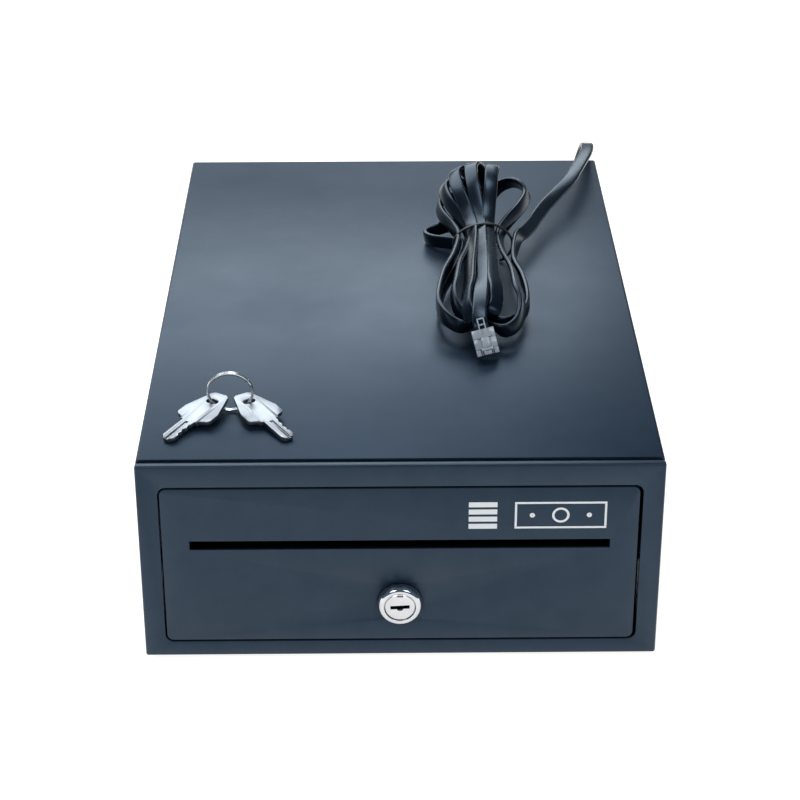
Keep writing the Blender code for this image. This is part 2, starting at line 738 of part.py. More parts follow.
def make_eject_spring(coat):
    start, end = PAN_REAR + 1.0 * MM, REAR_WALL - 1.0 * MM
    spring = tube("eject_spring", helix(6 * MM, end - start, 6, 12), 0.7 * MM, coat, 0)
    spring.location = (-45 * MM, (start + end) / 2, PAN_LOW + 22 * MM)
    spring.rotation_euler = (math.radians(90), 0, 0)


def make_switch(black, steel):
    """The drawer-open switch: its lever stands just clear of the pan's rear wall."""
    x0, x1 = 16.3 * MM, 22.7 * MM
    y0, low, high = PAN_REAR + 4.5 * MM, PAN_LOW + 3.5 * MM, PAN_LOW + 23.5 * MM
    block("microswitch", (x0, y0, low), (x1, y0 + 10 * MM, high), black, 0.6 * MM, 1)
    heel, tip = (y0 - 0.9 * MM, low + 2 * MM), (PAN_REAR + 0.7 * MM, high - 1 * MM)
    lever = strip("switch_lever", [heel, tip], x0 + 1.2 * MM, x1 - 1.2 * MM, 0.6 * MM, steel)
    carry(pivot("lever_motion", (0, *heel)), lever)


def make_inner_lead(coat):
    top = COIL_LOW + COIL_HEIGHT + 5.2 * MM
    start = REAR_WALL - 2.4 * MM - TUBE_RADIUS / 2
    route = [
        (GLAND_X, start, GLAND_Z), (GLAND_X - 3 * MM, start - 5 * MM, GLAND_Z + 3 * MM),
        (GLAND_X - 14 * MM, start - 6 * MM, GLAND_Z + 14 * MM),
        (GLAND_X - 40 * MM, start - 5 * MM, GLAND_Z + 30 * MM),
        (30 * MM, LINK_Y + 3 * MM, top + 8 * MM), (12 * MM, LINK_Y, top + 7 * MM),
        (7 * MM, LINK_Y, top),
    ]
    tube("inner_lead", smooth_route(route, 5 * MM), 1.1 * MM, coat)


# ---------------------------------------------------------------- drawer


def make_drawer_front(coat):
    x0, x1 = PANEL_SHIFT - PANEL_HALF, PANEL_SHIFT + PANEL_HALF
    low, high = OPENING_LOW + PANEL_GAP, OPENING_HIGH - PANEL_GAP
    panel = block(
        "drawer_front", (x0, FRONT, low), (x1, FRONT + PANEL_DEPTH, high), coat,
        OPENING_RADIUS - PANEL_GAP, 5, along_y,
    )
    wall = PANEL_SHEET
    inside = block(
        "panel_inside", (x0 + wall, PANEL_BACK, low + wall),
        (x1 - wall, FRONT + 2 * PANEL_DEPTH, high - wall), None,
        OPENING_RADIUS - PANEL_GAP - wall, 4, along_y,
    )
    half = SLOT_LENGTH / 2
    slot = block(
        "slot_cut", (LOCK_X - half, FRONT - 5 * MM, SLOT_Z - SLOT_HEIGHT / 2),
        (LOCK_X + half, PANEL_BACK + 1 * MM, SLOT_Z + SLOT_HEIGHT / 2),
    )
    lock_hole = rod(
        "lock_hole", BARREL_RADIUS + GAP, (LOCK_X, FRONT - 5 * MM, LOCK_Z),
        (LOCK_X, PANEL_BACK + 1 * MM, LOCK_Z), sides=32,
    )
    return cut(panel, inside, slot, lock_hole)


def make_pan(coat):
    pan = block("drawer_pan", (-PAN_HALF, PAN_FRONT, PAN_LOW),
                (PAN_HALF, PAN_REAR, PAN_LOW + PAN_WALL), coat)
    inner = PAN_HALF - PAN_SHEET
    cut(
        pan,
        block("pan_inside", (-inner, -DEPTH, PAN_FLOOR), (inner, PAN_REAR - PAN_SHEET, TOP)),
        block("pan_cam_window",
              (LOCK_X - 0.8 * CAM_REACH, CAM_Y - 3 * MM, 0),
              (LOCK_X + CAM_WIDTH / 2 + 3 * MM, CAM_Y + CAM_THICKNESS + 3 * MM, PAN_FLOOR + GAP)),
    )
    return pan


def make_drawer_rail(side, coat):
    name = "drawer_rail_right" if side > 0 else "drawer_rail_left"
    low, high = CHANNEL_FLOOR + 1.5 * MM, FLANGE_UNDERSIDE + RAIL_SHEET
    web = RAIL_IN + RAIL_SHEET
    section = [
        (RAIL_IN, low), (RAIL_IN, high), (RAIL_OUT, high), (RAIL_OUT, high - RAIL_SHEET),
        (web, high - RAIL_SHEET), (web, low),
    ]
    rail = drawn_along_y(name, section, side, FRONT + PANEL_DEPTH + 1 * MM, PAN_REAR, coat)
    y = PAN_REAR - REAR_ROLLER_INSET
    x = web + 1.1 * MM + ROLLER_WIDTH / 2
    join(rail, *make_stud(name, side, y, RAIL_IN + RAIL_SHEET / 2, x + ROLLER_WIDTH / 2 + GAP))
    roller = make_roller(
        "roller_drawer_right" if side > 0 else "roller_drawer_left", side * x, y
    )
    return rail, roller


def make_striker(coat):
    """The plate on the pan's rear wall whose turned-up end the hook catches."""
    sheet = 1.5 * MM
    plate_y = PAN_REAR + GAP + sheet / 2
    tongue_z = PIVOT_Z - 11.2 * MM
    lip_y = PIVOT_Y - LATCH_ARM + 3 * MM + 1.6 * MM
    section = [
        (plate_y, tongue_z - 7 * MM), (plate_y, tongue_z), (lip_y, tongue_z),
        (lip_y, PIVOT_Z - 5 * MM),
    ]
    return strip("striker", section, -8 * MM, 8 * MM, sheet, coat)


def make_media_guide(coat):
    """A hood behind the slot, which turns notes and slips down into the front pocket."""
    half = SLOT_LENGTH / 2 + 1.5 * MM
    sheet = 0.8 * MM
    y = PANEL_BACK + GAP + sheet / 2
    section = [
        (y, SLOT_Z + 16 * MM), (y, SLOT_Z + 12 * MM), (y + 12 * MM, SLOT_Z + 6 * MM),
        (y + 16.5 * MM, SLOT_Z), (y + 17 * MM, SLOT_Z - 17 * MM),
    ]
    return strip("media_guide", section, LOCK_X - half, LOCK_X + half, sheet, coat)


def make_till(coat):
    till = block("till_insert", (-TILL_HALF, TILL_Y0, TILL_LOW), (TILL_HALF, TILL_Y1, TILL_TOP),
                 coat, 3.0 * MM, 2, lambda middle, direction: abs(direction.z) > 0.9)
    inner = TILL_HALF - TILL_WALL
    coin_space = block("till_coin_space", (-inner, COIN_Y0, BAY_FLOOR), (inner, COIN_Y1, TOP))
    bays = []
    pitch = (2 * inner + TILL_WALL) / BILL_BAYS
    for i in range(BILL_BAYS):
        x0 = i * pitch - inner
        bays.append(block(f"till_bay_{i + 1}", (x0, BILL_Y0, BAY_FLOOR),
                          (x0 + pitch - TILL_WALL, BILL_Y1, TOP)))
    rod_way = rod("till_rod_way", CLIP_ROD_RADIUS + GAP, (-HALF, ROD_Y, ROD_Z),
                  (HALF, ROD_Y, ROD_Z), sides=20)
    cut(till, coin_space, *bays, rod_way)
    rod_end = PAN_HALF - PAN_SHEET - 1.0 * MM
    clip_rod = rod("clip_rod", CLIP_ROD_RADIUS, (-rod_end, ROD_Y, ROD_Z),
                   (rod_end, ROD_Y, ROD_Z), STEEL, sides=20)
    clips = [make_clip(i, (i + 0.5) * pitch - inner - TILL_WALL / 2) for i in range(BILL_BAYS)]
    return till, clip_rod, clips


def make_clip(i, x):
    """A sprung bill clip: local X runs back along +Y and local Y up, seen from the side."""
    name = f"bill_clip_{i + 1}"
    half = CLIP_THICKNESS / 2
    outline = [
        *arc((0, 0), CLIP_HUB, -165, 165, 20),
        (-CLIP_LENGTH + 9 * MM, half), (-CLIP_LENGTH, half + 4 * MM),
        (-CLIP_LENGTH - 1 * MM, half + 2.8 * MM), (-CLIP_LENGTH + 8 * MM, -half),
    ]
    clip = plate(name, outline, CLIP_WIDTH, BLACK, (x, ROD_Y, ROD_Z),
                 (math.radians(90), 0, math.radians(90)))
    bore = rod(name + "_bore", CLIP_ROD_RADIUS + GAP, (-HALF, ROD_Y, ROD_Z),
               (HALF, ROD_Y, ROD_Z), sides=20)
    cut(clip, bore)
    swing = pivot(name + "_motion", (x, ROD_Y, ROD_Z))
    carry(swing, clip)
    swing.rotation_euler = (CLIP_SLOPE, 0, 0)
    return clip, swing


def make_coin_tray(coat):
    half = TILL_HALF - TILL_WALL - 0.8 * MM
    low, high = BAY_FLOOR + GAP, TILL_TOP - 2 * MM
    y0, y1 = COIN_Y0 + GAP, COIN_Y1 - GAP
    tray = block("coin_tray", (-half, y0, low), (half, y1, high), coat)
    pitch = (2 * half - TILL_WALL) / COIN_CUPS
    for i in range(COIN_CUPS):
        x0 = i * pitch - half + TILL_WALL
        cut(tray, block(
            f"coin_cup_{i + 1}", (x0, y0 + TILL_WALL, low + TILL_FLOOR),
            (x0 + pitch - TILL_WALL, y1 - TILL_WALL, high + 2 * CUP_SCOOP), None, CUP_SCOOP, 4,
            lambda middle, direction: abs(direction.x) > 0.9 and middle.z < 0,
        ))
    return tray


# ---------------------------------------------------------------- lock


def make_lock(chrome, zinc):
    """Local +Z points out of the front, towards -Y; the panel's face is at zero."""
    out = (math.radians(90), 0, 0)
    at = (LOCK_X, FRONT, LOCK_Z)
    seat = PLUG_RADIUS + GAP
    face = PLUG_HEAD + GAP
    dome_top = BEZEL_STAND
    dome = [
        (BEZEL_RADIUS + (face + 0.8 * MM - BEZEL_RADIUS) * (1 - math.cos(angle)),
         1.6 * MM + (dome_top - 1.6 * MM) * math.sin(angle))
        for angle in [math.radians(90 - 18 * i) for i in range(6)]
    ]
    body = turned("lock_body", [
        (face, dome_top), *dome, (BEZEL_RADIUS, GAP), (BARREL_RADIUS, GAP),
        (BARREL_RADIUS, -BARREL_LENGTH), (seat, -BARREL_LENGTH), (seat, 2.6 * MM),
        (face, 2.6 * MM),
    ], chrome, at, out, steps=32)

    # The plug is what turns. Its tail carries the cam and a bore for the cam's screw.
    tail_end = CAM_Y - FRONT + CAM_THICKNESS - 0.2 * MM
    plug = turned("lock_plug", [
        (0, dome_top - GAP), (PLUG_HEAD - 0.4 * MM, dome_top - GAP),
        (PLUG_HEAD, dome_top - 0.7 * MM), (PLUG_HEAD, 2.9 * MM), (PLUG_RADIUS, 2.9 * MM),
        (PLUG_RADIUS, -BARREL_LENGTH - GAP), (PLUG_TAIL, -BARREL_LENGTH - GAP),
        (PLUG_TAIL, -tail_end), (1.8 * MM, -tail_end), (1.8 * MM, -tail_end + 6 * MM),
        (0, -tail_end + 6 * MM),
    ], chrome, at, out, steps=28)
    half_long, half_wide = KEYWAY_LENGTH / 2, KEYWAY_WIDTH / 2
    keyway = block(
        "keyway_cut", (LOCK_X - half_long, FRONT - 10 * MM, LOCK_Z - half_wide),
        (LOCK_X + half_long, FRONT - dome_top + KEYWAY_DEPTH, LOCK_Z + half_wide),
    )
    keyway.rotation_euler = (0, KEYWAY_TILT, 0)
    cut(plug, keyway)

    # Cam: seen from behind, it points to the case's left and swings down to lock.
    round_end = arc((0, 0), CAM_WIDTH / 2 + 1.5 * MM, -130, 130, 14)
    tip = arc((CAM_WIDTH / 2 - CAM_REACH, 0), CAM_WIDTH / 2, 90, 270, 10)
    cam = plate("lock_cam", [*round_end, *tip], CAM_THICKNESS, zinc,
                (LOCK_X, CAM_Y + CAM_THICKNESS / 2, LOCK_Z), out)
    cam_bore = rod("cam_bore", PLUG_TAIL + GAP, (LOCK_X, CAM_Y - 5 * MM, LOCK_Z),
                   (LOCK_X, CAM_Y + 8 * MM, LOCK_Z))
    cut(cam, cam_bore)
    head_z = -(CAM_Y - FRONT + CAM_THICKNESS + GAP)
    screw = turned("cam_screw", [
        (0, head_z + 5 * MM), (1.5 * MM, head_z + 5 * MM), (1.5 * MM, head_z),
        (5.5 * MM, head_z), (5.5 * MM, head_z - 1.6 * MM), (4.5 * MM, head_z - 2.4 * MM),
        (0, head_z - 2.4 * MM),
    ], zinc, at, out, steps=24)
    hexagon = arc((0, 0), 2 * (BARREL_RADIUS + NUT_RIM) / math.sqrt(3), 0, 300, 5)
    nut = plate("lock_nut", hexagon, NUT_THICKNESS, zinc,
                (LOCK_X, PANEL_BACK + GAP + NUT_THICKNESS / 2, LOCK_Z), out)
    cut(nut, rod("nut_bore", BARREL_RADIUS + GAP, (LOCK_X, FRONT - 5 * MM, LOCK_Z),
                 (LOCK_X, FRONT + 15 * MM, LOCK_Z), sides=32))
    return body, nut, plug, cam, screw


# ---------------------------------------------------------------- lead and keys


def make_lead(cable, clear, tie_coat):
    x, z = GLAND_X, GLAND_Z
    over = TOP + 13.5 * MM  # height of the lead's middle over the rear edge
    back = REAR + GLAND_REACH + GAP
    route = [
        (x, back, z), (x, back + 7 * MM, z), (x + 1.5 * MM, back + 13.5 * MM, z + 3 * MM),
        (x + 4 * MM, back + 17 * MM, z + 10 * MM), (x + 7.7 * MM, back + 17.5 * MM, z + 21 * MM),
        (x + 11.5 * MM, back + 15.7 * MM, z + 33 * MM), (x + 14.8 * MM, back + 12.7 * MM, over - 26 * MM),
        (x + 17 * MM, back + 8.7 * MM, over - 15 * MM), (x + 17.8 * MM, back + 1.7 * MM, over - 7.5 * MM),
        (x + 17.8 * MM, REAR, over - 4 * MM), (x + 17 * MM, REAR - 9.5 * MM, over - 2.6 * MM),
        (x + 14.8 * MM, REAR - 20.5 * MM, over - 1.8 * MM), (x + 11.2 * MM, REAR - 33 * MM, over - 1.4 * MM),
        (x + 7 * MM, REAR - 47 * MM, over - 1.2 * MM),
        (99.5 * MM, 122 * MM, over - 1.5 * MM), (91.6 * MM, 106.5 * MM, over - 2.5 * MM),
        (83.8 * MM, 90 * MM, over - 3 * MM), (78.6 * MM, 76 * MM, over - 3 * MM),
        (74.4 * MM, 62.5 * MM, over - 2.5 * MM), (70.0 * MM, 51.5 * MM, over - 2 * MM),
        (65.2 * MM, 41 * MM, over - 1.5 * MM),
    ]
    tube("cord_run", smooth_route(route, 9 * MM), TUBE_RADIUS, cable, resolution=2)

    # Hank: a waisted outline with round ends, grooved at the waist for its tie.
    reach = HANK_LENGTH / 2
    knee = reach - HANK_LOBE

    def half_width(s):
        if abs(s) > knee:
            return math.sqrt(max(0.0, HANK_LOBE**2 - (abs(s) - knee) ** 2))
        off = s - HANK_WAIST_BACK
        swell = knee - HANK_WAIST_BACK if off > 0 else knee + HANK_WAIST_BACK
        narrowing = 0.5 + 0.5 * math.cos(math.pi * off / swell)
        return HANK_LOBE - (HANK_LOBE - HANK_WAIST) * narrowing

    stations = [reach * math.sin(math.pi / 2 * i / 16) for i in range(-16, 17)]
    outline = [(half_width(s), s) for s in stations[1:-1]]
    outline = [(0, -reach), *outline, (0, reach), *[(-w, s) for w, s in reversed(outline)]]
    middle = TOP + GAP + HANK_HEIGHT / 2
    place = (*HANK_AT, middle)
    turn = (0, 0, HANK_TURN)
    hank = plate("cord_hank", outline, HANK_HEIGHT, cable, place, turn)
    groove = TIE_THICKNESS + GAP
    half, tall = HANK_WAIST + 1 * MM, HANK_HEIGHT / 2
    waist = HANK_WAIST_BACK
    low = Vector((-half, waist - TIE_WIDTH / 2, -tall))
    high = Vector((half, waist + TIE_WIDTH / 2, tall))
    spare = Vector((0, GAP, 0))
    grip = Vector((groove + 1 * MM, -10 * MM, groove))
    groove_ring = block("hank_groove", low - spare - Vector((5 * MM, 0, 5 * MM)),
                        high + spare + Vector((5 * MM, 0, 5 * MM)))
    groove_core = block("hank_groove_core", low + grip, high - grip)
    tie = block("cord_tie", low, high, tie_coat)
    tie_way = block("cord_tie_way", low + grip - Vector((GAP, 0, GAP)),
                    high - grip + Vector((GAP, 0, GAP)))
    for piece in (groove_ring, groove_core, tie, tie_way):
        piece.location = Vector(place) + Matrix.Rotation(HANK_TURN, 3, "Z") @ piece.location
        piece.rotation_euler = turn
    cut(groove_ring, groove_core)
    cut(hank, groove_ring)
    cut(tie, tie_way)

    # Plug: hangs nose down in front of the hank, its latch facing forward.
    turn = Matrix.Rotation(JACK_SLOPE, 3, "X") @ Matrix.Rotation(JACK_LEAN, 3, "Z")
    along = turn @ Vector((0, 1, 0))
    front_end = HANK_AT[1] - reach
    tip = Vector((44.2 * MM, front_end - 13.4 * MM, TOP + 3.3 * MM))
    middle = tip + along * JACK_LENGTH / 2
    size = Vector((JACK_WIDTH, JACK_LENGTH, JACK_HEIGHT)) / 2
    jack = block("plug_body", middle - size, middle + size, clear, 0.5 * MM, 1)
    jack.rotation_euler = turn.to_euler()
    latch = block("plug_latch", (-1.7 * MM, -3 * MM, 0.2 * MM), (1.7 * MM, 11.5 * MM, 1.2 * MM))
    latch.location = middle + turn @ Vector((0, 4.2 * MM, JACK_HEIGHT / 2 + 1.2 * MM))
    latch.rotation_euler = (turn @ Matrix.Rotation(math.radians(8), 3, "X")).to_euler()
    root = block("plug_latch_root", (-1.7 * MM, -1 * MM, -1.5 * MM), (1.7 * MM, 1 * MM, 1.5 * MM))
    root.location = middle + turn @ Vector((0, -2.2 * MM, JACK_HEIGHT / 2 + 0.2 * MM))
    root.rotation_euler = turn.to_euler()
    join(jack, root, latch)
    tail_start = middle + along * (JACK_LENGTH / 2 + GAP)
    tail = [tail_start + along * step * MM for step in (0, 3, 6)]
    tube("cord_tail", tail, 1.25 * MM, cable)


def make_keys(nickel, steel):
    ring_z = TOP + GAP + RING_RADIUS + RING_WIRE
    wire = [
        (RING_RADIUS * math.cos(2 * math.pi * i / 40), RING_RADIUS * math.sin(2 * math.pi * i / 40))
        for i in range(40)
    ]
    data = bpy.data.curves.new("key_ring", "CURVE")
    data.dimensions = "3D"
    data.bevel_depth = RING_WIRE
    data.bevel_resolution = 2
    line = data.splines.new("POLY")
    line.points.add(len(wire) - 1)
    for point, (x, y) in zip(line.points, wire):
        point.co = (x, y, 0.0, 1.0)
    line.use_cyclic_u = True
    ring = add("key_ring", data, steel, (*RING_AT, ring_z), (math.radians(90) + RING_LEAN, 0, 0))
    ring_motion = pivot("keys_motion", (*RING_AT, TOP))
    carry(ring_motion, ring)
    drop = RING_RADIUS + RING_WIRE - KEY_HOLE_LIFT
    reach = math.sqrt(RING_RADIUS**2 - drop**2) + 0.5 * MM
    hole_y = RING_AT[1] + drop * math.sin(RING_LEAN) + 0.4 * MM
    slope = math.asin((KEY_HOLE_LIFT - KEY_TIP_LIFT) / KEY_HOLE_FROM_TIP)
    for name, side, heading in (("key_left", -1, 56.5), ("key_right", 1, 124.5)):
        hole = Vector((RING_AT[0] + side * reach, hole_y, TOP + GAP + KEY_HOLE_LIFT))
        key = make_key(name, hole, math.radians(heading), slope, nickel)
        carry(ring_motion, key)


def make_key(name, hole, heading, slope, coat):
    """Local X runs from the key's tip to its bow, with the hole at zero."""
    x = -KEY_HOLE_FROM_TIP
    blade = [
        (x, -1.6 * MM), (x + 2.0 * MM, -3.2 * MM), (x + 5 * MM, -3.2 * MM),
        (x + 6 * MM, -2.2 * MM), (x + 7.5 * MM, -3.0 * MM), (x + 9.5 * MM, -2.0 * MM),
        (x + 11.5 * MM, -3.1 * MM), (x + 13.5 * MM, -2.5 * MM), (x + 15 * MM, -3.3 * MM),
        (x + 17 * MM, -3.3 * MM),
    ]
    bow = [
        (x + 17 * MM, -4.8 * MM), (x + 18.4 * MM, -5.0 * MM), (x + 20 * MM, -8.6 * MM),
        (x + 21.2 * MM, -9.4 * MM), (x + 27 * MM, -9.4 * MM), (x + 28.5 * MM, -8.9 * MM),
        (x + 41.3 * MM, -4.6 * MM), (x + 42.5 * MM, -3.2 * MM),
    ]
    mirrored = [(along, -across) for along, across in reversed(bow)]
    back = [(x + 17 * MM, 3.3 * MM), (x + 2.0 * MM, 3.3 * MM), (x, 1.8 * MM)]
    outline = [*blade, *bow, *mirrored, *back]
    turn = Matrix.Rotation(heading, 4, "Z") @ Matrix.Rotation(-slope, 4, "Y")
    key = plate(name, outline, KEY_THICKNESS, coat, hole, turn.to_euler())
    ease = KEY_HOLE_SHORT / 2
    straight = KEY_HOLE_LONG / 2 - ease
    slot = [*arc((0, straight), ease, 0, 180, 8), *arc((0, -straight), ease, 180, 360, 8)]
    opening = plate(name + "_hole", slot, 4 * KEY_THICKNESS, None, hole, turn.to_euler())
    groove = block(name + "_groove", (x - 1 * MM, -0.9 * MM, 0.35 * MM),
                   (x + 16 * MM, 0.9 * MM, 3 * MM))
    groove.location = hole + turn.to_3x3() @ groove.location
    groove.rotation_euler = turn.to_euler()
    return cut(key, opening, groove)


# ---------------------------------------------------------------- assembly

start_empty()
POWDER = finish("powder_coat", (0.045, 0.075, 0.115), 0.42, 0.0)
ZINC = finish("zinc_plated_steel", (0.62, 0.63, 0.62), 0.38, 1.0)
STEEL = finish("bright_steel", (0.70, 0.70, 0.71), 0.25, 1.0)
SPRING = finish("spring_steel", (0.35, 0.35, 0.36), 0.35, 1.0)
CHROME = finish("chrome_plate", (0.85, 0.86, 0.87), 0.10, 1.0)
NICKEL = finish("nickel_plate", (0.72, 0.71, 0.70), 0.33, 1.0)
BLACK = finish("black_plastic", (0.015, 0.015, 0.017), 0.45)
NYLON = finish("nylon", (0.80, 0.80, 0.77), 0.5)
RUBBER = finish("rubber", (0.02, 0.02, 0.02), 0.8)
CABLE = finish("cable_sheath", (0.018, 0.020, 0.024), 0.4)
COPPER = finish("varnished_copper", (0.50, 0.20, 0.08), 0.35, 0.8)
CLEAR = finish("clear_plastic", (0.85, 0.88, 0.90), 0.1)

make_cover(POWDER)
make_cover_screws(ZINC)
make_base(POWDER)
make_feet(RUBBER)
make_front_frame(POWDER)
for hand in (-1, 1):
    make_rail(hand, ZINC)
make_lock_keeper(ZINC)
make_gland(BLACK)
make_latch(ZINC, COPPER, SPRING)
make_eject_spring(SPRING)
make_switch(BLACK, STEEL)
make_inner_lead(CABLE)
make_lead(CABLE, CLEAR, BLACK)
make_keys(NICKEL, STEEL)

drawer = pivot("drawer_motion", (0, FRONT, BOTTOM))
lock_turn = pivot("lock_motion", (LOCK_X, FRONT, LOCK_Z))
lock_body, lock_nut, lock_plug, lock_cam, cam_screw = make_lock(CHROME, ZINC)
carry(lock_turn, lock_plug, lock_cam, cam_screw)
till, clip_rod, clips = make_till(BLACK)
carry(drawer, lock_turn, lock_body, lock_nut, till, clip_rod)
for clip, swing in clips:
    carry(drawer, swing)
carry(drawer, make_drawer_front(POWDER), make_pan(ZINC), make_striker(ZINC))
carry(drawer, make_media_guide(ZINC), make_coin_tray(BLACK))
for hand in (-1, 1):
    carry(drawer, *make_drawer_rail(hand, ZINC))
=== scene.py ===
"""Looks for the steel cash drawer: finishes, flat lead in its hank, plug, keys and lock.

Everything is in metres in the CAD frame: the front faces -Y, +X is to the right, and the
origin is on the floor under the middle of the case.
"""

import json
import math

import bmesh
import bpy
from mathutils import Matrix, Vector


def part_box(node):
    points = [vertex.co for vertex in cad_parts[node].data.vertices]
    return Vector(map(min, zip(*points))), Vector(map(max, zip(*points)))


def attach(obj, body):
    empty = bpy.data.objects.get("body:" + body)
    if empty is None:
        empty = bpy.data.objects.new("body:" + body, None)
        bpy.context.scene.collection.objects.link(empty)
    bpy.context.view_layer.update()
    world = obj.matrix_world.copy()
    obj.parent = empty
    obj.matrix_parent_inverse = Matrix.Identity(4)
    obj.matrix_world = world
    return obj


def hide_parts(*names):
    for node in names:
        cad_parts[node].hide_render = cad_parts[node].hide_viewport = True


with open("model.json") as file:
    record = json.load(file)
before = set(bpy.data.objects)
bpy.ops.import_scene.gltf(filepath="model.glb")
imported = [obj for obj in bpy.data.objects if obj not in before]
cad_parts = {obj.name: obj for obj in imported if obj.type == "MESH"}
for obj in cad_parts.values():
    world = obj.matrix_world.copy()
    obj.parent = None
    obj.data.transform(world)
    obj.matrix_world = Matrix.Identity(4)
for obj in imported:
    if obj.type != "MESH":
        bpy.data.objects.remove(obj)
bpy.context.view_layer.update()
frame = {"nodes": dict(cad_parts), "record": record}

MM = 0.001
GAP = 0.3 * MM

# Places taken from the frame
CASE_LOW, CASE_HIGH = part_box("top_cover")
FRAME_LOW, FRAME_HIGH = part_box("front_frame")
PANEL_LOW, PANEL_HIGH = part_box("drawer_front")
LOCK_LOW, LOCK_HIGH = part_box("lock_body")
GLAND_LOW, GLAND_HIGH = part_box("cord_gland")
TOP = CASE_HIGH.z
FRONT = FRAME_LOW.y
REAR = CASE_HIGH.y

# ---------------------------------------------------------------- camera and stage

CAMERA_AT = Vector((-0.0086, -1.0389, 0.5972))
CAMERA_PITCH = math.radians(61.90)  # 90 looks level
CAMERA_YAW = math.radians(-0.56)
CAMERA_ROLL = math.radians(-0.08)
CAMERA_LENS = 98.73  # millimetres, on a 36 mm sensor


def make_camera():
    data = bpy.data.cameras.new("camera")
    data.lens = CAMERA_LENS
    data.sensor_width = 36.0
    camera = bpy.data.objects.new("camera", data)
    bpy.context.scene.collection.objects.link(camera)
    turn = Matrix.Rotation(CAMERA_YAW, 3, "Z") @ Matrix.Rotation(CAMERA_PITCH, 3, "X")
    camera.rotation_euler = (turn @ Matrix.Rotation(CAMERA_ROLL, 3, "Z")).to_euler()
    camera.location = CAMERA_AT
    bpy.context.scene.camera = camera


def make_soft_box(name, at, aim, width, height, watts, colour=(1, 1, 1)):
    data = bpy.data.lights.new(name, "AREA")
    data.shape = "RECTANGLE"
    data.size = width
    data.size_y = height
    data.energy = watts
    data.color = colour
    light = bpy.data.objects.new(name, data)
    bpy.context.scene.collection.objects.link(light)
    light.location = at
    light.rotation_euler = (Vector(aim) - Vector(at)).to_track_quat("-Z", "Y").to_euler()


def make_studio():
    world = bpy.data.worlds.new("studio")
    bpy.context.scene.world = world
    world.use_nodes = True
    world.node_tree.nodes["Background"].inputs["Color"].default_value = (0.50, 0.74, 1.0, 1)
    world.node_tree.nodes["Background"].inputs["Strength"].default_value = 0.16
    cool = (0.84, 0.93, 1.0)
    make_soft_box("rear_box", (-0.55, 1.68, 1.36), (0, 0, 0.08), 2.5, 1.6, 40, cool)
    make_soft_box("left_fill", (-0.95, -1.6, 1.5), (0, 0, 0.05), 0.8, 0.8, 10, cool)
    make_soft_box("right_fill", (0.95, -1.6, 1.5), (0, 0, 0.05), 0.8, 0.8, 6, cool)
    make_soft_box("overhead", (0.1, 0.35, 1.9), (0, 0.1, 0), 0.8, 0.6, 9, cool)
    bpy.context.scene.view_settings.view_transform = "Standard"


def make_floor():
    bm = bmesh.new()
    bmesh.ops.create_grid(bm, x_segments=8, y_segments=8, size=4.0)
    mesh = bpy.data.meshes.new("floor")
    bm.to_mesh(mesh)
    bm.free()
    floor = bpy.data.objects.new("floor", mesh)
    bpy.context.scene.collection.objects.link(floor)
    made, shader = new_material(
        "studio_floor", (0.55, 0.50, 0.45), 0.8,
        Emission_Color=(1.0, 0.985, 0.96, 1), Emission_Strength=0.93,
    )
    floor.data.materials.append(made)


# ---------------------------------------------------------------- shader tools


def new_material(name, colour, roughness, metallic=0.0, **sockets):
    """A Principled material with its constants on the shader's own sockets."""
    made = bpy.data.materials.new(name)
    made.use_nodes = True
    shader = made.node_tree.nodes["Principled BSDF"]
    shader.inputs["Base Color"].default_value = (*colour, 1.0)
    shader.inputs["Roughness"].default_value = roughness
    shader.inputs["Metallic"].default_value = metallic
    for socket, value in sockets.items():
        shader.inputs[socket.replace("_", " ")].default_value = value
    return made, shader


class Nodes:
    """Adds nodes to one tree and links them by socket name."""

    def __init__(self, tree):
        self.tree = tree

    def add(self, kind, settings=None, **inputs):
        node = self.tree.nodes.new(kind)
        for name, value in (settings or {}).items():
            setattr(node, name, value)
        for name, value in inputs.items():
            self.feed(node.inputs[name.replace("_", " ")], value)
        return node

    def feed(self, socket, value):
        if isinstance(value, bpy.types.NodeSocket):
            self.tree.links.new(value, socket)
        else:
            socket.default_value = value

    def math(self, operation, a, b=None, clamp=False):
        node = self.tree.nodes.new("ShaderNodeMath")
        node.operation = operation
        node.use_clamp = clamp
        self.feed(node.inputs[0], a)
        if b is not None:
            self.feed(node.inputs[1], b)
        return node.outputs[0]

    def mix(self, share, a, b):
        node = self.tree.nodes.new("ShaderNodeMix")
        node.data_type = "RGBA"
        self.feed(node.inputs[0], share)
        self.feed(node.inputs[6], a)
        self.feed(node.inputs[7], b)
        return node.outputs[2]

    def ramp(self, value, low, high, to_low=0.0, to_high=1.0):
        node = self.tree.nodes.new("ShaderNodeMapRange")
        for socket, number in zip(node.inputs[:5], (value, low, high, to_low, to_high)):
            self.feed(socket, number)
        return node.outputs[0]

    def stretched(self, scale, vector=None):
        """Object-space place, multiplied per axis."""
        if vector is None:
            vector = self.add("ShaderNodeTexCoord").outputs["Object"]
        return self.add("ShaderNodeMapping", Vector=vector, Scale=scale).outputs[0]

    def noise(self, vector, scale, detail=2.0, roughness=0.5):
        return self.add(
            "ShaderNodeTexNoise", Vector=vector, Scale=scale, Detail=detail, Roughness=roughness
        ).outputs["Fac"]

    def bump(self, height, distance, strength=1.0):
        return self.add(
            "ShaderNodeBump", Height=height, Distance=distance, Strength=strength
        ).outputs["Normal"]


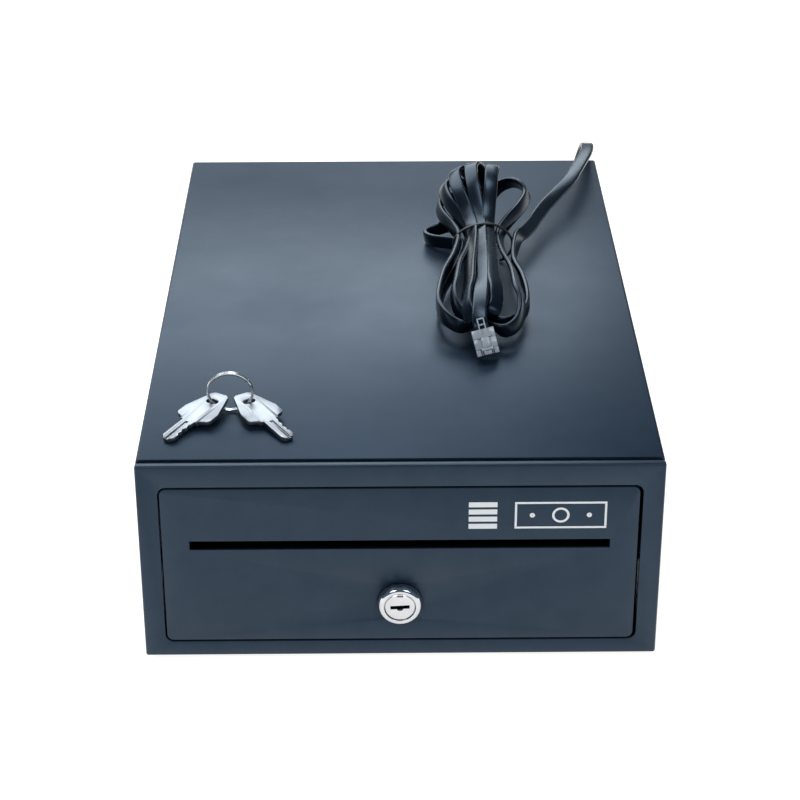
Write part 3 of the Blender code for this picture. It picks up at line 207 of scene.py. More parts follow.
def new_group(name, inputs, outputs):
    """A shader node group. Inputs map a name to its default; outputs map a name to a type."""
    tree = bpy.data.node_groups.new(name, "ShaderNodeTree")
    for label, default in inputs.items():
        socket = tree.interface.new_socket(label, in_out="INPUT", socket_type="NodeSocketFloat")
        socket.default_value = default
    for label, kind in outputs.items():
        tree.interface.new_socket(label, in_out="OUTPUT", socket_type=kind)
    nodes = Nodes(tree)
    given = tree.nodes.new("NodeGroupInput").outputs
    wanted = tree.nodes.new("NodeGroupOutput").inputs
    return nodes, given, wanted


def make_grain_group():
    """Fine all-over grain of a coat or moulding, with broader waves under it."""
    nodes, given, wanted = new_group(
        "surface_grain", {"Grain per metre": 2500.0, "Wave per metre": 120.0, "Wave share": 0.3},
        {"Height": "NodeSocketFloat", "Tone": "NodeSocketFloat"},
    )
    place = nodes.add("ShaderNodeTexCoord").outputs["Object"]
    grain = nodes.noise(place, given["Grain per metre"], 3.0, 0.55)
    wave = nodes.noise(place, given["Wave per metre"], 2.0, 0.5)
    nodes.feed(wanted["Height"], nodes.math("ADD", grain, nodes.math("MULTIPLY", wave, given["Wave share"])))
    nodes.feed(wanted["Tone"], wave)


def make_edge_wear_and_highlight_group():
    """Mask of the outer edges, broken up by noise, where a coat wears thin and where it is made paler as a
    painted highlight.
    """
    nodes, given, wanted = new_group(
        "edge_wear_and_highlight", {"Width": 0.0006, "Amount": 1.0, "Break per metre": 500.0},
        {"Mask": "NodeSocketFloat"},
    )
    rounded = nodes.add("ShaderNodeBevel", {"samples": 4}, Radius=given["Width"]).outputs[0]
    flat = nodes.add("ShaderNodeNewGeometry").outputs["Normal"]
    facing = nodes.add("ShaderNodeVectorMath", {"operation": "DOT_PRODUCT"})
    nodes.feed(facing.inputs[0], rounded)
    nodes.feed(facing.inputs[1], flat)
    turned_away = nodes.ramp(facing.outputs["Value"], 0.995, 0.86)
    place = nodes.add("ShaderNodeTexCoord").outputs["Object"]
    broken = nodes.ramp(nodes.noise(place, given["Break per metre"], 4.0, 0.6), 0.35, 0.65)
    both = nodes.math("MULTIPLY", turned_away, broken)
    nodes.feed(wanted["Mask"], nodes.math("MULTIPLY", both, given["Amount"], clamp=True))


def make_smudge_group():
    """Slow changes of gloss from handling and cleaning."""
    nodes, given, wanted = new_group(
        "smudges", {"Low": 0.4, "High": 0.5, "Size per metre": 25.0}, {"Roughness": "NodeSocketFloat"}
    )
    place = nodes.add("ShaderNodeTexCoord").outputs["Object"]
    cloud = nodes.noise(place, given["Size per metre"], 5.0, 0.6)
    share = nodes.ramp(cloud, 0.35, 0.65)
    spread = nodes.math("SUBTRACT", given["High"], given["Low"])
    nodes.feed(
        wanted["Roughness"], nodes.math("ADD", given["Low"], nodes.math("MULTIPLY", share, spread))
    )


def make_brush_group():
    """Fine parallel lines along one axis, from rolling, brushing or extruding."""
    nodes, given, wanted = new_group(
        "drawn_lines", {"Lines per metre": 3000.0, "X": 0.02, "Y": 1.0, "Z": 1.0},
        {"Height": "NodeSocketFloat"},
    )
    axes = nodes.add("ShaderNodeCombineXYZ", X=given["X"], Y=given["Y"], Z=given["Z"]).outputs[0]
    place = nodes.add("ShaderNodeTexCoord").outputs["Object"]
    turned = nodes.add("ShaderNodeVectorMath", {"operation": "MULTIPLY"})
    nodes.feed(turned.inputs[0], place)
    nodes.feed(turned.inputs[1], axes)
    nodes.feed(
        wanted["Height"], nodes.noise(turned.outputs[0], given["Lines per metre"], 2.0, 0.6)
    )


def use_group(nodes, name, **inputs):
    node = nodes.tree.nodes.new("ShaderNodeGroup")
    node.node_tree = bpy.data.node_groups[name]
    for label, value in inputs.items():
        nodes.feed(node.inputs[label.replace("_", " ")], value)
    return node.outputs


def colour_of(rgb):
    return (*rgb, 1.0)


# ---------------------------------------------------------------- finishes


BLUE_SHEEN = (0.55, 0.75, 1.0, 1.0)


def make_powder_coat():
    """Dark slate powder coat: fine orange peel, faint rolled lines, and edges made paler for wear and as a
    painted highlight.
    """
    base, pale = (0.012, 0.022, 0.038), (0.040, 0.060, 0.086)
    made, shader = new_material(
        "slate_powder_coat", base, 0.42, Specular_IOR_Level=0.5, Specular_Tint=BLUE_SHEEN
    )
    nodes = Nodes(made.node_tree)
    grain = use_group(nodes, "surface_grain", Grain_per_metre=2600.0, Wave_per_metre=90.0)
    lines = use_group(nodes, "drawn_lines", Lines_per_metre=900.0, X=0.03)
    # Paler edges: wear, and a painted highlight along the edges.
    wear_and_highlight = use_group(nodes, "edge_wear_and_highlight", Width=0.0007, Amount=0.6)
    smudge = use_group(nodes, "smudges", Low=0.38, High=0.46, Size_per_metre=14.0)
    tone = nodes.ramp(grain["Tone"], 0.3, 0.7, 0.0, 0.16)
    toned = nodes.mix(tone, colour_of(base), colour_of(pale))
    nodes.feed(shader.inputs["Base Color"], nodes.mix(wear_and_highlight["Mask"], toned, colour_of(pale)))
    nodes.feed(shader.inputs["Roughness"], smudge["Roughness"])
    height = nodes.math("ADD", grain["Height"], nodes.math("MULTIPLY", lines["Height"], 0.8))
    nodes.feed(shader.inputs["Normal"], nodes.bump(height, 0.00001))
    return made


def make_metal(name, colour, low, high, lines=None, depth=0.000004, edge_wear_highlight_colour=None):
    """A bare or plated metal. lines gives the axis along which it was drawn or rolled."""
    made, shader = new_material(name, colour, low, 1.0)
    nodes = Nodes(made.node_tree)
    smudge = use_group(nodes, "smudges", Low=low, High=high, Size_per_metre=60.0)
    nodes.feed(shader.inputs["Roughness"], smudge["Roughness"])
    grain = use_group(nodes, "surface_grain", Grain_per_metre=1800.0, Wave_per_metre=150.0)
    height = grain["Height"]
    if lines:
        drawn = use_group(nodes, "drawn_lines", **{axis: 0.02 if axis == lines else 1.0 for axis in "XYZ"})
        height = nodes.math("ADD", drawn["Height"], nodes.math("MULTIPLY", height, 0.4))
    nodes.feed(shader.inputs["Normal"], nodes.bump(height, depth))
    tone = nodes.ramp(grain["Tone"], 0.3, 0.7, 0.0, 0.35)
    dull = tuple(part * 0.72 for part in colour)
    toned = nodes.mix(tone, colour_of(colour), colour_of(dull))
    # Paler edges: wear, and a painted highlight along the edges.
    if edge_wear_highlight_colour:
        wear_and_highlight = use_group(nodes, "edge_wear_and_highlight", Width=0.0004, Amount=0.8)
        toned = nodes.mix(wear_and_highlight["Mask"], toned, colour_of(edge_wear_highlight_colour))
    nodes.feed(shader.inputs["Base Color"], toned)
    return made


def make_moulding(name, colour, low, high, grain_per_metre=1500.0, depth=0.00002, **sockets):
    """A moulded plastic or rubber with a spark-eroded grain."""
    made, shader = new_material(name, colour, low, **sockets)
    nodes = Nodes(made.node_tree)
    smudge = use_group(nodes, "smudges", Low=low, High=high, Size_per_metre=40.0)
    nodes.feed(shader.inputs["Roughness"], smudge["Roughness"])
    grain = use_group(nodes, "surface_grain", Grain_per_metre=grain_per_metre, Wave_per_metre=60.0)
    nodes.feed(shader.inputs["Normal"], nodes.bump(grain["Height"], depth))
    # Paler edges: wear, and a painted highlight along the edges.
    wear_and_highlight = use_group(nodes, "edge_wear_and_highlight", Width=0.0005, Amount=0.5)
    light = tuple(min(1.0, part * 1.8 + 0.012) for part in colour)
    toned = nodes.mix(nodes.ramp(grain["Tone"], 0.3, 0.7, 0.0, 0.2), colour_of(colour), colour_of(light))
    nodes.feed(shader.inputs["Base Color"], nodes.mix(wear_and_highlight["Mask"], toned, colour_of(light)))
    return made


def make_cable_sheath():
    """Satin black PVC with faint lines along the lead, from the extruder."""
    base, pale = (0.0025, 0.0040, 0.0070), (0.005, 0.008, 0.012)
    made, shader = new_material(
        "black_cable_sheath", base, 0.26, Specular_IOR_Level=0.5, Specular_Tint=BLUE_SHEEN
    )
    nodes = Nodes(made.node_tree)
    along = nodes.add("ShaderNodeUVMap", {"uv_map": "run"}).outputs[0]
    lines = nodes.noise(nodes.stretched((1.0, 60.0, 1.0), along), 60.0, 3.0, 0.6)
    dust = use_group(nodes, "surface_grain", Grain_per_metre=3000.0, Wave_per_metre=200.0)
    smudge = use_group(nodes, "smudges", Low=0.23, High=0.29, Size_per_metre=40.0)
    nodes.feed(shader.inputs["Roughness"], smudge["Roughness"])
    nodes.feed(
        shader.inputs["Base Color"],
        nodes.mix(nodes.ramp(dust["Tone"], 0.35, 0.7, 0.0, 0.5), colour_of(base), colour_of(pale)),
    )
    height = nodes.math("ADD", lines, nodes.math("MULTIPLY", dust["Height"], 0.25))
    nodes.feed(shader.inputs["Normal"], nodes.bump(height, 0.0000012))
    return made


def make_clear_plastic():
    made, shader = new_material(
        "clear_polycarbonate", (0.97, 0.98, 1.0), 0.07, Transmission_Weight=0.45, IOR=1.57
    )
    nodes = Nodes(made.node_tree)
    grain = use_group(nodes, "surface_grain", Grain_per_metre=900.0, Wave_per_metre=300.0)
    nodes.feed(shader.inputs["Normal"], nodes.bump(grain["Height"], 0.000006))
    return made


def make_finishes():
    make_grain_group()
    make_edge_wear_and_highlight_group()
    make_smudge_group()
    make_brush_group()
    return {
        "powder": make_powder_coat(),
        # The edge colours given to zinc and nickel are wear and a painted highlight.
        "zinc": make_metal("zinc_plated_steel", (0.62, 0.63, 0.62), 0.34, 0.46, "Y", edge_wear_highlight_colour=(0.8, 0.8, 0.8)),
        "steel": make_metal("bright_steel_wire", (0.74, 0.74, 0.75), 0.16, 0.26),
        "chrome": make_metal("polished_chrome", (0.68, 0.69, 0.71), 0.06, 0.12, depth=0.0000006),
        "nickel": make_metal("stamped_nickel", (0.42, 0.42, 0.43), 0.36, 0.46, None, 0.00001, (0.9, 0.9, 0.9)),
        "print": make_moulding("white_print", (0.80, 0.81, 0.82), 0.5, 0.6),
        # Near black, used as painted shade in the lock's index groove and keyway.
        "recess_shade": make_moulding("painted_recess_shade", (0.004, 0.004, 0.005), 0.6, 0.7),
        "black": make_moulding("black_moulding", (0.014, 0.014, 0.016), 0.42, 0.52),
        "nylon": make_moulding("natural_nylon", (0.72, 0.71, 0.66), 0.42, 0.5, 900.0, 0.000008),
        "rubber": make_moulding("foot_rubber", (0.018, 0.018, 0.018), 0.7, 0.8, 1200.0, 0.00003),
        "cable": make_cable_sheath(),
        "clear": make_clear_plastic(),
        "copper": make_metal("varnished_winding", (0.55, 0.22, 0.09), 0.25, 0.35, "Z", 0.00002),
        "gold": make_metal("gilt_contact", (0.90, 0.68, 0.30), 0.15, 0.22),
    }


# ---------------------------------------------------------------- mesh tools


def piece(name, bm, finish, body, slot, *stands_for, smooth=35.0):
    """Make a piece from bm, ride it on its body and hide the CAD nodes it stands for."""
    mesh = bpy.data.meshes.new(name)
    bmesh.ops.recalc_face_normals(bm, faces=bm.faces)
    bm.to_mesh(mesh)
    bm.free()
    mesh.shade_smooth()
    mesh.set_sharp_from_angle(angle=math.radians(smooth))
    obj = bpy.data.objects.new(name, mesh)
    bpy.context.scene.collection.objects.link(obj)
    mesh.materials.append(finish)
    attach(obj, body)
    if stands_for:
        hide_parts(*stands_for)
    return obj


def catmull(before, start, end, after, t):
    return (
        2 * start + (end - before) * t
        + (2 * before - 5 * start + 4 * end - after) * t * t
        + (3 * start - before - 3 * end + after) * t * t * t
    ) / 2


def smooth_line(stations, spacing):
    """Even steps along a smooth curve through (place, hint) stations; both are vectors."""
    first = tuple(2 * a - b for a, b in zip(stations[0], stations[1]))
    last = tuple(2 * a - b for a, b in zip(stations[-1], stations[-2]))
    padded = [first, *stations, last]
    fine = []
    for group in zip(padded, padded[1:], padded[2:], padded[3:]):
        for step in range(24):
            fine.append(tuple(catmull(*[item[part] for item in group], step / 24) for part in (0, 1)))
    fine.append(stations[-1])
    made, travelled, due = [], 0.0, 0.0
    for here, there in zip(fine, fine[1:]):
        length = (there[0] - here[0]).length
        while length > 0 and due <= travelled + length:
            share = (due - travelled) / length
            made.append(tuple(here[part].lerp(there[part], share) for part in (0, 1)))
            due += spacing
        travelled += length
    made.append(fine[-1])
    return made, travelled


def rounded_section(width, thickness, corner, steps):
    """(across, through) points of a flat bar with round corners, anticlockwise."""
    points = []
    for corner_index in range(4):
        cx = (width / 2 - corner) * (1 if corner_index in (0, 3) else -1)
        cy = (thickness / 2 - corner) * (1 if corner_index < 2 else -1)
        for step in range(steps + 1):
            angle = math.radians(90 * corner_index + 90 * step / steps)
            points.append((cx + corner * math.cos(angle), cy + corner * math.sin(angle)))
    return points


def ribbon_mesh(line, section, uv_name=None):
    """Sweep a section along (place, hint) stations; the hint leans the section's width."""
    bm = bmesh.new()
    rings, marks = [], []
    travelled = 0.0
    for index, (place, hint) in enumerate(line):
        before = line[max(index - 1, 0)][0]
        after = line[min(index + 1, len(line) - 1)][0]
        tangent = (after - before).normalized()
        across = (hint - hint.dot(tangent) * tangent).normalized()
        through = tangent.cross(across)
        rings.append([bm.verts.new(place + across * a + through * b) for a, b in section])
        if index:
            travelled += (place - line[index - 1][0]).length
        marks.append(travelled)
    uv = bm.loops.layers.uv.new(uv_name or "run")
    count = len(section)
    for index, (near, far) in enumerate(zip(rings, rings[1:])):
        for side in range(count):
            corners = [near[side], near[(side + 1) % count], far[(side + 1) % count], far[side]]
            face = bm.faces.new(corners)
            places = [(marks[index], side), (marks[index], side + 1),
                      (marks[index + 1], side + 1), (marks[index + 1], side)]
            for loop, (u, v) in zip(face.loops, places):
                loop[uv].uv = (u, v / count)
    for ring in (rings[0], rings[-1]):
        bm.faces.new(ring)
    return bm


# ---------------------------------------------------------------- the lead

CABLE_WIDTH = 7.4 * MM
CABLE_THICKNESS = 2.5 * MM

# Route from the gland, up behind the case, over its rear edge and down to the hank
RUN_ROUTE = [
    (0.0970, 0.1898, 0.0490), (0.0970, 0.1968, 0.0490), (0.0985, 0.2033, 0.0520),
    (0.1010, 0.2068, 0.0590), (0.1047, 0.2073, 0.0700), (0.1085, 0.2055, 0.0820),
    (0.1118, 0.2025, 0.0940), (0.1140, 0.1985, 0.1050), (0.1148, 0.1915, 0.1125),
    (0.1148, 0.1825, 0.1160), (0.1140, 0.1730, 0.1174), (0.1118, 0.1620, 0.1182),
    (0.1082, 0.1495, 0.1186), (0.1040, 0.1355, 0.1188), (0.0995, 0.1220, 0.1185),
    (0.0916, 0.1065, 0.1175), (0.0838, 0.0900, 0.1170), (0.0786, 0.0760, 0.1170),
    (0.0744, 0.0625, 0.1175), (0.0700, 0.0515, 0.1180), (0.0652, 0.0410, 0.1185),
]

HANK_TURN = math.radians(-2.4)
TIE_AT = Vector((0.0465, 0.0390, TOP))  # under the middle of the tie
BUNDLE_MIDDLE = 9.8 * MM  # height of the bundle's middle above the cover
WAIST = (11.2 * MM, 7.2 * MM)  # half-width and half-height of the bundle's inner layer
FRONT_LOBE = (23.0 * MM, 13.5 * MM)
REAR_LOBE = (25.0 * MM, 26.5 * MM)
SHOULDER = 0.72  # of a loop's reach, where it is widest
PLUG_SIZE = Vector((11.0, 12.9, 7.2)) * MM  # across, from nose to rear, and through
PLUG_TURN = Matrix.Rotation(math.radians(62), 3, "X") @ Matrix.Rotation(math.radians(14), 3, "Z")
PLUG_ALONG = PLUG_TURN @ Vector((0, 1, 0))  # from the plug's nose to its rear end
PLUG_AT = Vector((0.0442, -0.0794, TOP + 0.0033)) + PLUG_ALONG * PLUG_SIZE.y / 2
PLUG_REAR = PLUG_AT + PLUG_ALONG * PLUG_SIZE.y / 2

# Each loop's tilt from upright at its shoulder and at its tip in degrees, its reach from the
# tie in millimetres and its size. The lead goes to the front, back through the middle, to
# the rear, and so on.
FRONT_LOOPS = [
    (88, 98, 94, 0.98), (60, 92, 104, 1.04), (20, 36, 97, 1.02), (-99, -97, 95, 1.0),
    (-77, -84, 103, 1.05), (-54, -66, 98, 0.98), (-29, -44, 104, 1.0),
]
REAR_LOOPS = [
    (66, 46, 59, 1.04), (9, 14, 52, 1.06), (-101, -98, 30, 1.25), (-78, -70, 51, 0.98),
    (-57, -46, 57, 1.02), (-36, -24, 60, 1.04), (-15, -5, 61, 1.01),
]
# Where each turn passes through the middle of the bundle: its column and its level
MIDDLE_PLACES = [(1, 0), (1, 1), (-1, 0), (-1, 1), (-1, 2), (1, 2), (0, 3)]


def hank_place(u, v, w):
    """u runs to the rear along the hank, v to the right and w up."""
    return TIE_AT + Matrix.Rotation(HANK_TURN, 3, "Z") @ Vector((v, u, w))


def across_hint(tilt):
    """The width of a band whose loop is tilted from upright, in world axes."""
    return Matrix.Rotation(HANK_TURN, 3, "Z") @ Vector((math.cos(tilt), 0, -math.sin(tilt)))


def loop_station(u, rho, tilt, roll=None):
    place = hank_place(u, rho * math.sin(tilt), BUNDLE_MIDDLE + rho * math.cos(tilt))
    return place, across_hint(tilt if roll is None else roll)


def oval(sizes, tilt):
    """Radius of an oval of that half-width and half-height, in a direction from upright."""
    side, top = sizes
    return side * top / math.hypot(top * math.sin(tilt), side * math.cos(tilt))


def lean_of_width(side, tilt):
    """Left strands lie on edge in front of the tie; all others show their face."""
    if side > 0 or tilt >= 0:
        return tilt
    return max(tilt - math.radians(20), -math.pi / 2)


def make_loop(side, row):
    """One loop in metres and radians: side is +1 at the rear and -1 at the front."""
    tilt, tip_tilt, reach, size = row
    tilt, tip_tilt = math.radians(tilt), math.radians(tip_tilt)
    lobe = REAR_LOBE if side > 0 else FRONT_LOBE
    return {
        "side": side, "tilt": tilt, "tip_tilt": tip_tilt, "reach": reach * MM,
        "half": size * oval(lobe, tilt), "tip_half": size * oval(lobe, tip_tilt),
    }


def outer_strand(start, end, layer):
    """From one loop's shoulder, under the tie, to the next loop's shoulder."""
    made = []
    for share in (-1.0, -0.68, -0.34, 0.0, 0.34, 0.68, 1.0):
        loop = start if share <= 0 else end
        turn = 0.5 + 0.5 * math.sin(math.pi / 2 * share)
        lean = start["tilt"] + (end["tilt"] - start["tilt"]) * turn
        waist = oval(WAIST, lean) + layer
        swell = math.sin(math.pi / 2 * abs(share)) ** 2
        out = loop["side"] * SHOULDER * loop["reach"] * abs(share)
        at_front = 0.5 + 0.5 * math.sin(math.pi / 2 * share) * (1 if end["side"] < 0 else -1)
        roll = lean + (lean_of_width(-1, lean) - lean) * at_front
        made.append(loop_station(out, waist + (loop["half"] - waist) * swell, lean, roll))
    return made


def loop_tip(loop, outward):
    """Round the end of a loop, from its shoulder in to the middle, or back out."""
    shape = [(0.84, 0.96, 0.35), (0.945, 0.76, 0.75), (1.0, 0.47, 1.0), (0.955, 0.20, 1.0), (0.83, 0.07, 1.0)]
    made = []
    for u, rho, share in shape:
        tilt = loop["tilt"] + (loop["tip_tilt"] - loop["tilt"]) * share
        half = loop["half"] + (loop["tip_half"] - loop["half"]) * share
        made.append(loop_station(
            loop["side"] * loop["reach"] * u, half * rho, tilt,
            lean_of_width(loop["side"], tilt) * (0.4 + 0.6 * rho),
        ))
    return made[::-1] if outward else made


def inner_strand(place):
    """Back through the middle of the bundle, lying flat."""
    column, level = place
    return [
        (hank_place(u * MM, column * 3.5 * MM, (1.7 + 2.7 * level) * MM), across_hint(0.0))
        for u in (-52, -26, 0, 16)
    ]


def hank_stations():
    """The lead's turns, from where the run meets the tie to the plug."""
    made = []
    coming = make_loop(1, (84, 84, 50, 0.8))
    for turn, (front, rear, place) in enumerate(zip(FRONT_LOOPS, REAR_LOOPS, MIDDLE_PLACES)):
        front, rear = make_loop(-1, front), make_loop(1, rear)
        strand = outer_strand(coming, front, (0.0 if turn % 2 else 2.7) * MM)
        made += strand[4:] if turn == 0 else strand[1:]
        made += loop_tip(front, outward=False)
        made += inner_strand(place)
        made += loop_tip(rear, outward=True)
        made.append(loop_station(SHOULDER * rear["reach"], rear["half"], rear["tilt"]))
        coming = rear
    over = make_loop(-1, (-3, -3, 98, 1.0))
    made += outer_strand(coming, over, 2.7 * MM)[1:]
    level = Vector((1, 0, 0))
    made += [
        (hank_place(-94 * MM, -1.5 * MM, 23.5 * MM), level),
        (PLUG_REAR + PLUG_ALONG * 4.5 * MM, PLUG_TURN @ level),
        (PLUG_REAR - PLUG_ALONG * 4.5 * MM, PLUG_TURN @ level),
    ]
    return made


def run_stations():
    """The open stretch, flat behind the case and turned on edge where it meets the tie."""
    made = []
    last = len(RUN_ROUTE) - 1
    for index, point in enumerate(RUN_ROUTE):
        share = max(0.0, (index - 12) / (last - 12))
        made.append((Vector(point), across_hint(math.radians(62) * share**1.5)))
    return made


def make_lead(finish):
    line, length = smooth_line([*run_stations(), *hank_stations()], 2.2 * MM)
    section = rounded_section(CABLE_WIDTH, CABLE_THICKNESS, 1.05 * MM, 3)
    lead = piece(
        "flat_lead", ribbon_mesh(line, section), finish["cable"], "case", "cable_sheath",
        "cord_run", "cord_hank", "cord_tail", smooth=50.0,
    )
    return lead, [place for place, hint in line], length


def make_tie(finish):
    """A thin band drawn tight round the waist, flattened where it passes under the bundle."""
    line = []
    for step in range(61):
        angle = 2 * math.pi * step / 60
        radius = oval(WAIST, angle) + 2.7 * MM + CABLE_THICKNESS / 2 + 0.7 * MM
        v, w = radius * math.sin(angle), BUNDLE_MIDDLE + radius * math.cos(angle)
        w = max(w, 1.1 * MM)
        line.append((hank_place(1.2 * MM * math.sin(2 * angle), v, w), hank_place(1, 0, 0) - hank_place(0, 0, 0)))
    section = rounded_section(1.9 * MM, 1.2 * MM, 0.5 * MM, 2)
    return piece(
        "wire_tie", ribbon_mesh(line, section), finish["black"], "case", "black_moulding", "cord_tie"
    )


# ---------------------------------------------------------------- the plug


def add_box(bm, low, high, rounding=0.0, turn=None, at=None):
    """A box between two corners, with its edges rounded, then turned and moved."""
    low, high = Vector(low), Vector(high)
    made = bmesh.ops.create_cube(bm, size=1.0)["verts"]
    bmesh.ops.scale(bm, vec=high - low, verts=made)
    bmesh.ops.translate(bm, vec=(low + high) / 2, verts=made)
    if rounding:
        edges = list({edge for vert in made for edge in vert.link_edges})
        made = bmesh.ops.bevel(
            bm, geom=[*made, *edges], offset=rounding, segments=2, profile=0.5, affect="EDGES"
        )["verts"]
    if turn is not None:
        bmesh.ops.transform(bm, matrix=Matrix.Translation(at) @ turn.to_4x4(), verts=made)
    return made


def plug_boxes(boxes, rounding):
    """Boxes given as (low, high) in millimetres in the plug's own axes."""
    bm = bmesh.new()
    for low, high in boxes:
        add_box(bm, Vector(low) * MM, Vector(high) * MM, rounding * MM, PLUG_TURN, PLUG_AT)
    return bm


def make_plug(finish):
    """Clear shell with its latch and comb, gilt contacts and six conductors."""
    across, along, through = PLUG_SIZE / (2 * MM)
    nose, comb = -along, -along + 3.3
    shell = [
        ((-across, comb, 0.9), (across, along - 4.6, through)),
        ((-across, along - 4.3, through - 1.1), (across, along, through)),
        ((-across, comb, -through), (across, along, -through + 1.3)),
        ((-across, comb, -through + 1.5), (-across + 1.3, along, 0.7)),
        ((across - 1.3, comb, -through + 1.5), (across, along, 0.7)),
        ((-across, nose, -through), (-across + 2.2, comb - 0.2, through)),
        ((across - 2.2, nose, -through), (across, comb - 0.2, through)),
        ((-across + 2.4, nose, -through), (across - 2.4, comb - 0.2, -through + 1.6)),
        ((-1.8, nose + 0.2, through + 0.2), (1.8, nose + 2.0, through + 1.4)),
        ((-2.9, nose + 2.2, through + 0.9), (2.9, nose + 3.6, through + 2.1)),
        ((-1.8, nose + 3.8, through + 1.3), (1.8, nose + 8.6, through + 2.3)),
    ]
    pitch = (across * 2 - 4.8) / 7
    contacts, ribs = [], []
    for slot in range(7):
        x = -across + 2.4 + pitch * (slot + 0.5)
        ribs.append(((x - 0.19, nose, -through + 1.8), (x + 0.19, comb - 0.2, through - 0.4)))
        if slot < 6:
            x += pitch / 2
            contacts.append(((x - 0.16, nose + 0.3, -through + 1.9), (x + 0.16, comb + 1.3, 0.6)))
    latch_end = [
        ((-1.8, along - 2.0, through + 2.2), (-1.2, along + 5.4, through + 3.2)),
        ((1.2, along - 2.0, through + 2.2), (1.8, along + 5.4, through + 3.2)),
        ((-1.1, along + 4.7, through + 2.2), (1.1, along + 5.4, through + 3.2)),
        ((-1.1, along + 1.7, through + 2.2), (1.1, along + 2.4, through + 3.2)),
    ]
    pieces = [
        piece("plug_shell", plug_boxes([*shell, *ribs, *latch_end], 0.12), finish["clear"],
              "case", "clear_plug", "plug_body"),
        piece("plug_contacts", plug_boxes(contacts, 0.05), finish["gold"], "case", "bright_steel"),
    ]
    wires = {
        "white": (0.7, 0.7, 0.7), "black": (0.02, 0.02, 0.02), "red": (0.40, 0.10, 0.10),
        "green": (0.10, 0.22, 0.14), "yellow": (0.50, 0.44, 0.20), "blue": (0.10, 0.16, 0.32),
    }
    for slot, (name, colour) in enumerate(wires.items()):
        x = -across + 2.4 + pitch * (slot + 1)
        bm = plug_boxes([((x - 0.42, comb + 0.4, -0.45), (x + 0.42, along - 4.9, 0.4))], 0.3)
        coat = make_moulding("conductor_" + name, colour, 0.3, 0.4)
        pieces.append(piece("conductor_" + name, bm, coat, "case", "cable_sheath"))
    return pieces


# ---------------------------------------------------------------- keys, lock and print


def make_split_ring(finish):
    """Two close turns of wire, as a split ring has, on the key ring's place."""
    low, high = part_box("key_ring")
    middle = (low + high) / 2
    radius = (high.x - low.x) / 2 - 0.75 * MM
    turn = Matrix.Rotation(math.radians(97), 3, "X")
    line = []
    for step in range(145):
        angle = 4 * math.pi * step / 144 + math.radians(35)
        side = 0.52 * MM * (1 if step < 70 else -1 if step > 74 else (72 - step) / 2)
        out = Vector((math.cos(angle), math.sin(angle), 0))
        line.append((middle + turn @ (out * radius + Vector((0, 0, side))), turn @ out))
    section = rounded_section(1.15 * MM, 0.95 * MM, 0.4 * MM, 2)
    return piece(
        "split_ring", ribbon_mesh(line, section), finish["steel"], "keys", "bright_steel", "key_ring"
    )


def make_lock_painted_shade(finish):
    """Dark bar in the index groove above the keyway and a dark half-round below the keyway's middle: painted
    shade in the groove and the keyway's centre ward.
    """
    centre = (LOCK_LOW + LOCK_HIGH) / 2
    face = LOCK_LOW.y - 0.02 * MM
    bm = bmesh.new()
    add_box(bm, (centre.x - 1.5 * MM, face, centre.z + 5.7 * MM),
            (centre.x + 1.5 * MM, face + 0.12 * MM, centre.z + 6.1 * MM), 0.04 * MM)
    ring = []
    for step in range(13):
        angle = math.pi * (1 + step / 12)
        ring.append(Vector((centre.x + 1.5 * MM * math.cos(angle), face,
                            centre.z - 0.75 * MM + 1.0 * MM * math.sin(angle))))
    verts = [bm.verts.new(place) for place in ring]
    deep = [bm.verts.new(place + Vector((0, 0.12 * MM, 0))) for place in ring]
    bm.faces.new(verts)
    bm.faces.new(deep[::-1])
    count = len(verts)
    for index in range(count):
        near = (index + 1) % count
        bm.faces.new([verts[index], deep[index], deep[near], verts[near]])
    return piece("lock_painted_shade", bm, finish["recess_shade"], "lock_barrel", "chrome_lock")


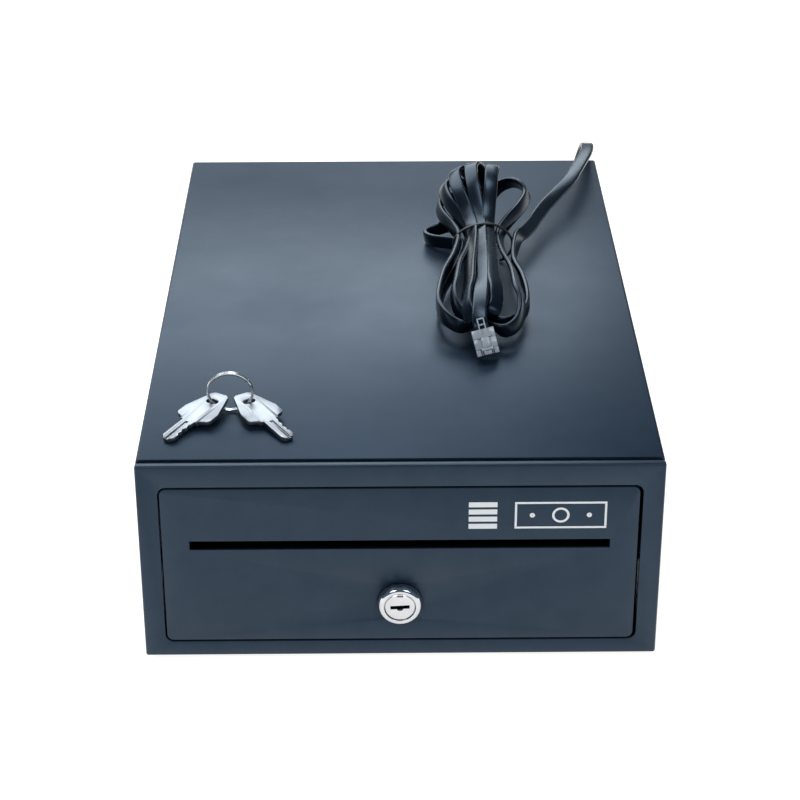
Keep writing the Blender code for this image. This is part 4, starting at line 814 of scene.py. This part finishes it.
def make_print(finish):
    """A plain white picture of a banknote and coins on the panel's upper right."""
    bm = bmesh.new()
    face = PANEL_LOW.y
    middle_z = 80.0 * MM

    def bar(x0, x1, z0, z1):
        add_box(bm, (x0 * MM, face - 0.06 * MM, middle_z + z0 * MM),
                (x1 * MM, face + 0.02 * MM, middle_z + z1 * MM))

    def disc(x, z, radius, inner=0.0):
        rings = []
        for size, depth in ((radius, 0), (radius, 1), (inner, 1), (inner, 0)):
            rings.append([bm.verts.new((
                (x + size * math.cos(math.pi * step / 16)) * MM,
                face + (0.02 - 0.08 * depth) * MM,
                middle_z + (z + size * math.sin(math.pi * step / 16)) * MM,
            )) for step in range(32)])
        for near, far in zip(rings, [*rings[1:], rings[0]]):
            for step in range(32):
                after = (step + 1) % 32
                bm.faces.new([near[step], near[after], far[after], far[step]])

    for low, high in ((-7.0, -6.0), (6.0, 7.0)):
        bar(52, 94, low, high)
    for left in (52.0, 93.0):
        bar(left, left + 1, -5.9, 5.9)
    disc(73, 0, 4.0, 2.9)
    disc(60, 0, 1.2, 0.2)
    disc(86, 0, 1.2, 0.2)
    for level in range(4):
        bar(31, 44, -7.0 + 3.8 * level, -4.4 + 3.8 * level)
    return piece("panel_print", bm, finish["print"], "drawer", "painted_front", smooth=20.0)


# ---------------------------------------------------------------- assembly


EDGE_ROUNDING = {
    "painted_case": 0.3 * MM, "painted_front": 0.35 * MM, "zinc_steel": 0.15 * MM,
    "bright_steel": 0.0, "chrome_lock": 0.15 * MM, "nickel_keys": 0.2 * MM,
    "black_moulding": 0.25 * MM, "nylon": 0.0, "rubber_feet": 0.3 * MM,
    "cable_sheath": 0.0, "clear_plug": 0.2 * MM, "copper_coil": 0.0,
}


def coat_cad(finish):
    """Give every CAD node that stays its finish, by its slot in the record."""
    by_slot = {
        "painted_case": "powder", "painted_front": "powder", "zinc_steel": "zinc",
        "bright_steel": "steel", "chrome_lock": "chrome", "nickel_keys": "nickel",
        "black_moulding": "black", "nylon": "nylon", "rubber_feet": "rubber",
        "cable_sheath": "black", "clear_plug": "clear", "copper_coil": "copper",
    }
    for row in frame["record"]["subparts"]:
        node = frame["nodes"][row["node"]]
        node.data.materials.clear()
        node.data.materials.append(finish[by_slot[row["material_slot"]]])
        soften_edges(node, EDGE_ROUNDING[row["material_slot"]])


def soften_edges(node, width):
    """Smooth the curved faces and round the sharp edges, as formed and moulded pieces are."""
    node.data.shade_smooth()
    node.data.set_sharp_from_angle(angle=math.radians(35))
    if not width:
        return
    weld = node.modifiers.new("weld", "WELD")
    weld.merge_threshold = 0.02 * MM
    rounding = node.modifiers.new("edges", "BEVEL")
    rounding.width = width
    rounding.segments = 2
    rounding.limit_method = "ANGLE"
    rounding.angle_limit = math.radians(40)
    rounding.use_clamp_overlap = True
    rounding.harden_normals = True


make_camera()
FINISH = make_finishes()
make_studio()
make_floor()
coat_cad(FINISH)
lead, lead_path, lead_length = make_lead(FINISH)
tie = make_tie(FINISH)
plug_pieces = make_plug(FINISH)
make_split_ring(FINISH)
make_lock_painted_shade(FINISH)
make_print(FINISH)
# Black finish on the media guide and the drawer pan, so that what shows through the media slot is dark: painted
# shade in the slot.
for node_name in ("media_guide", "drawer_pan"):
    frame["nodes"][node_name].data.materials[0] = FINISH["black"]
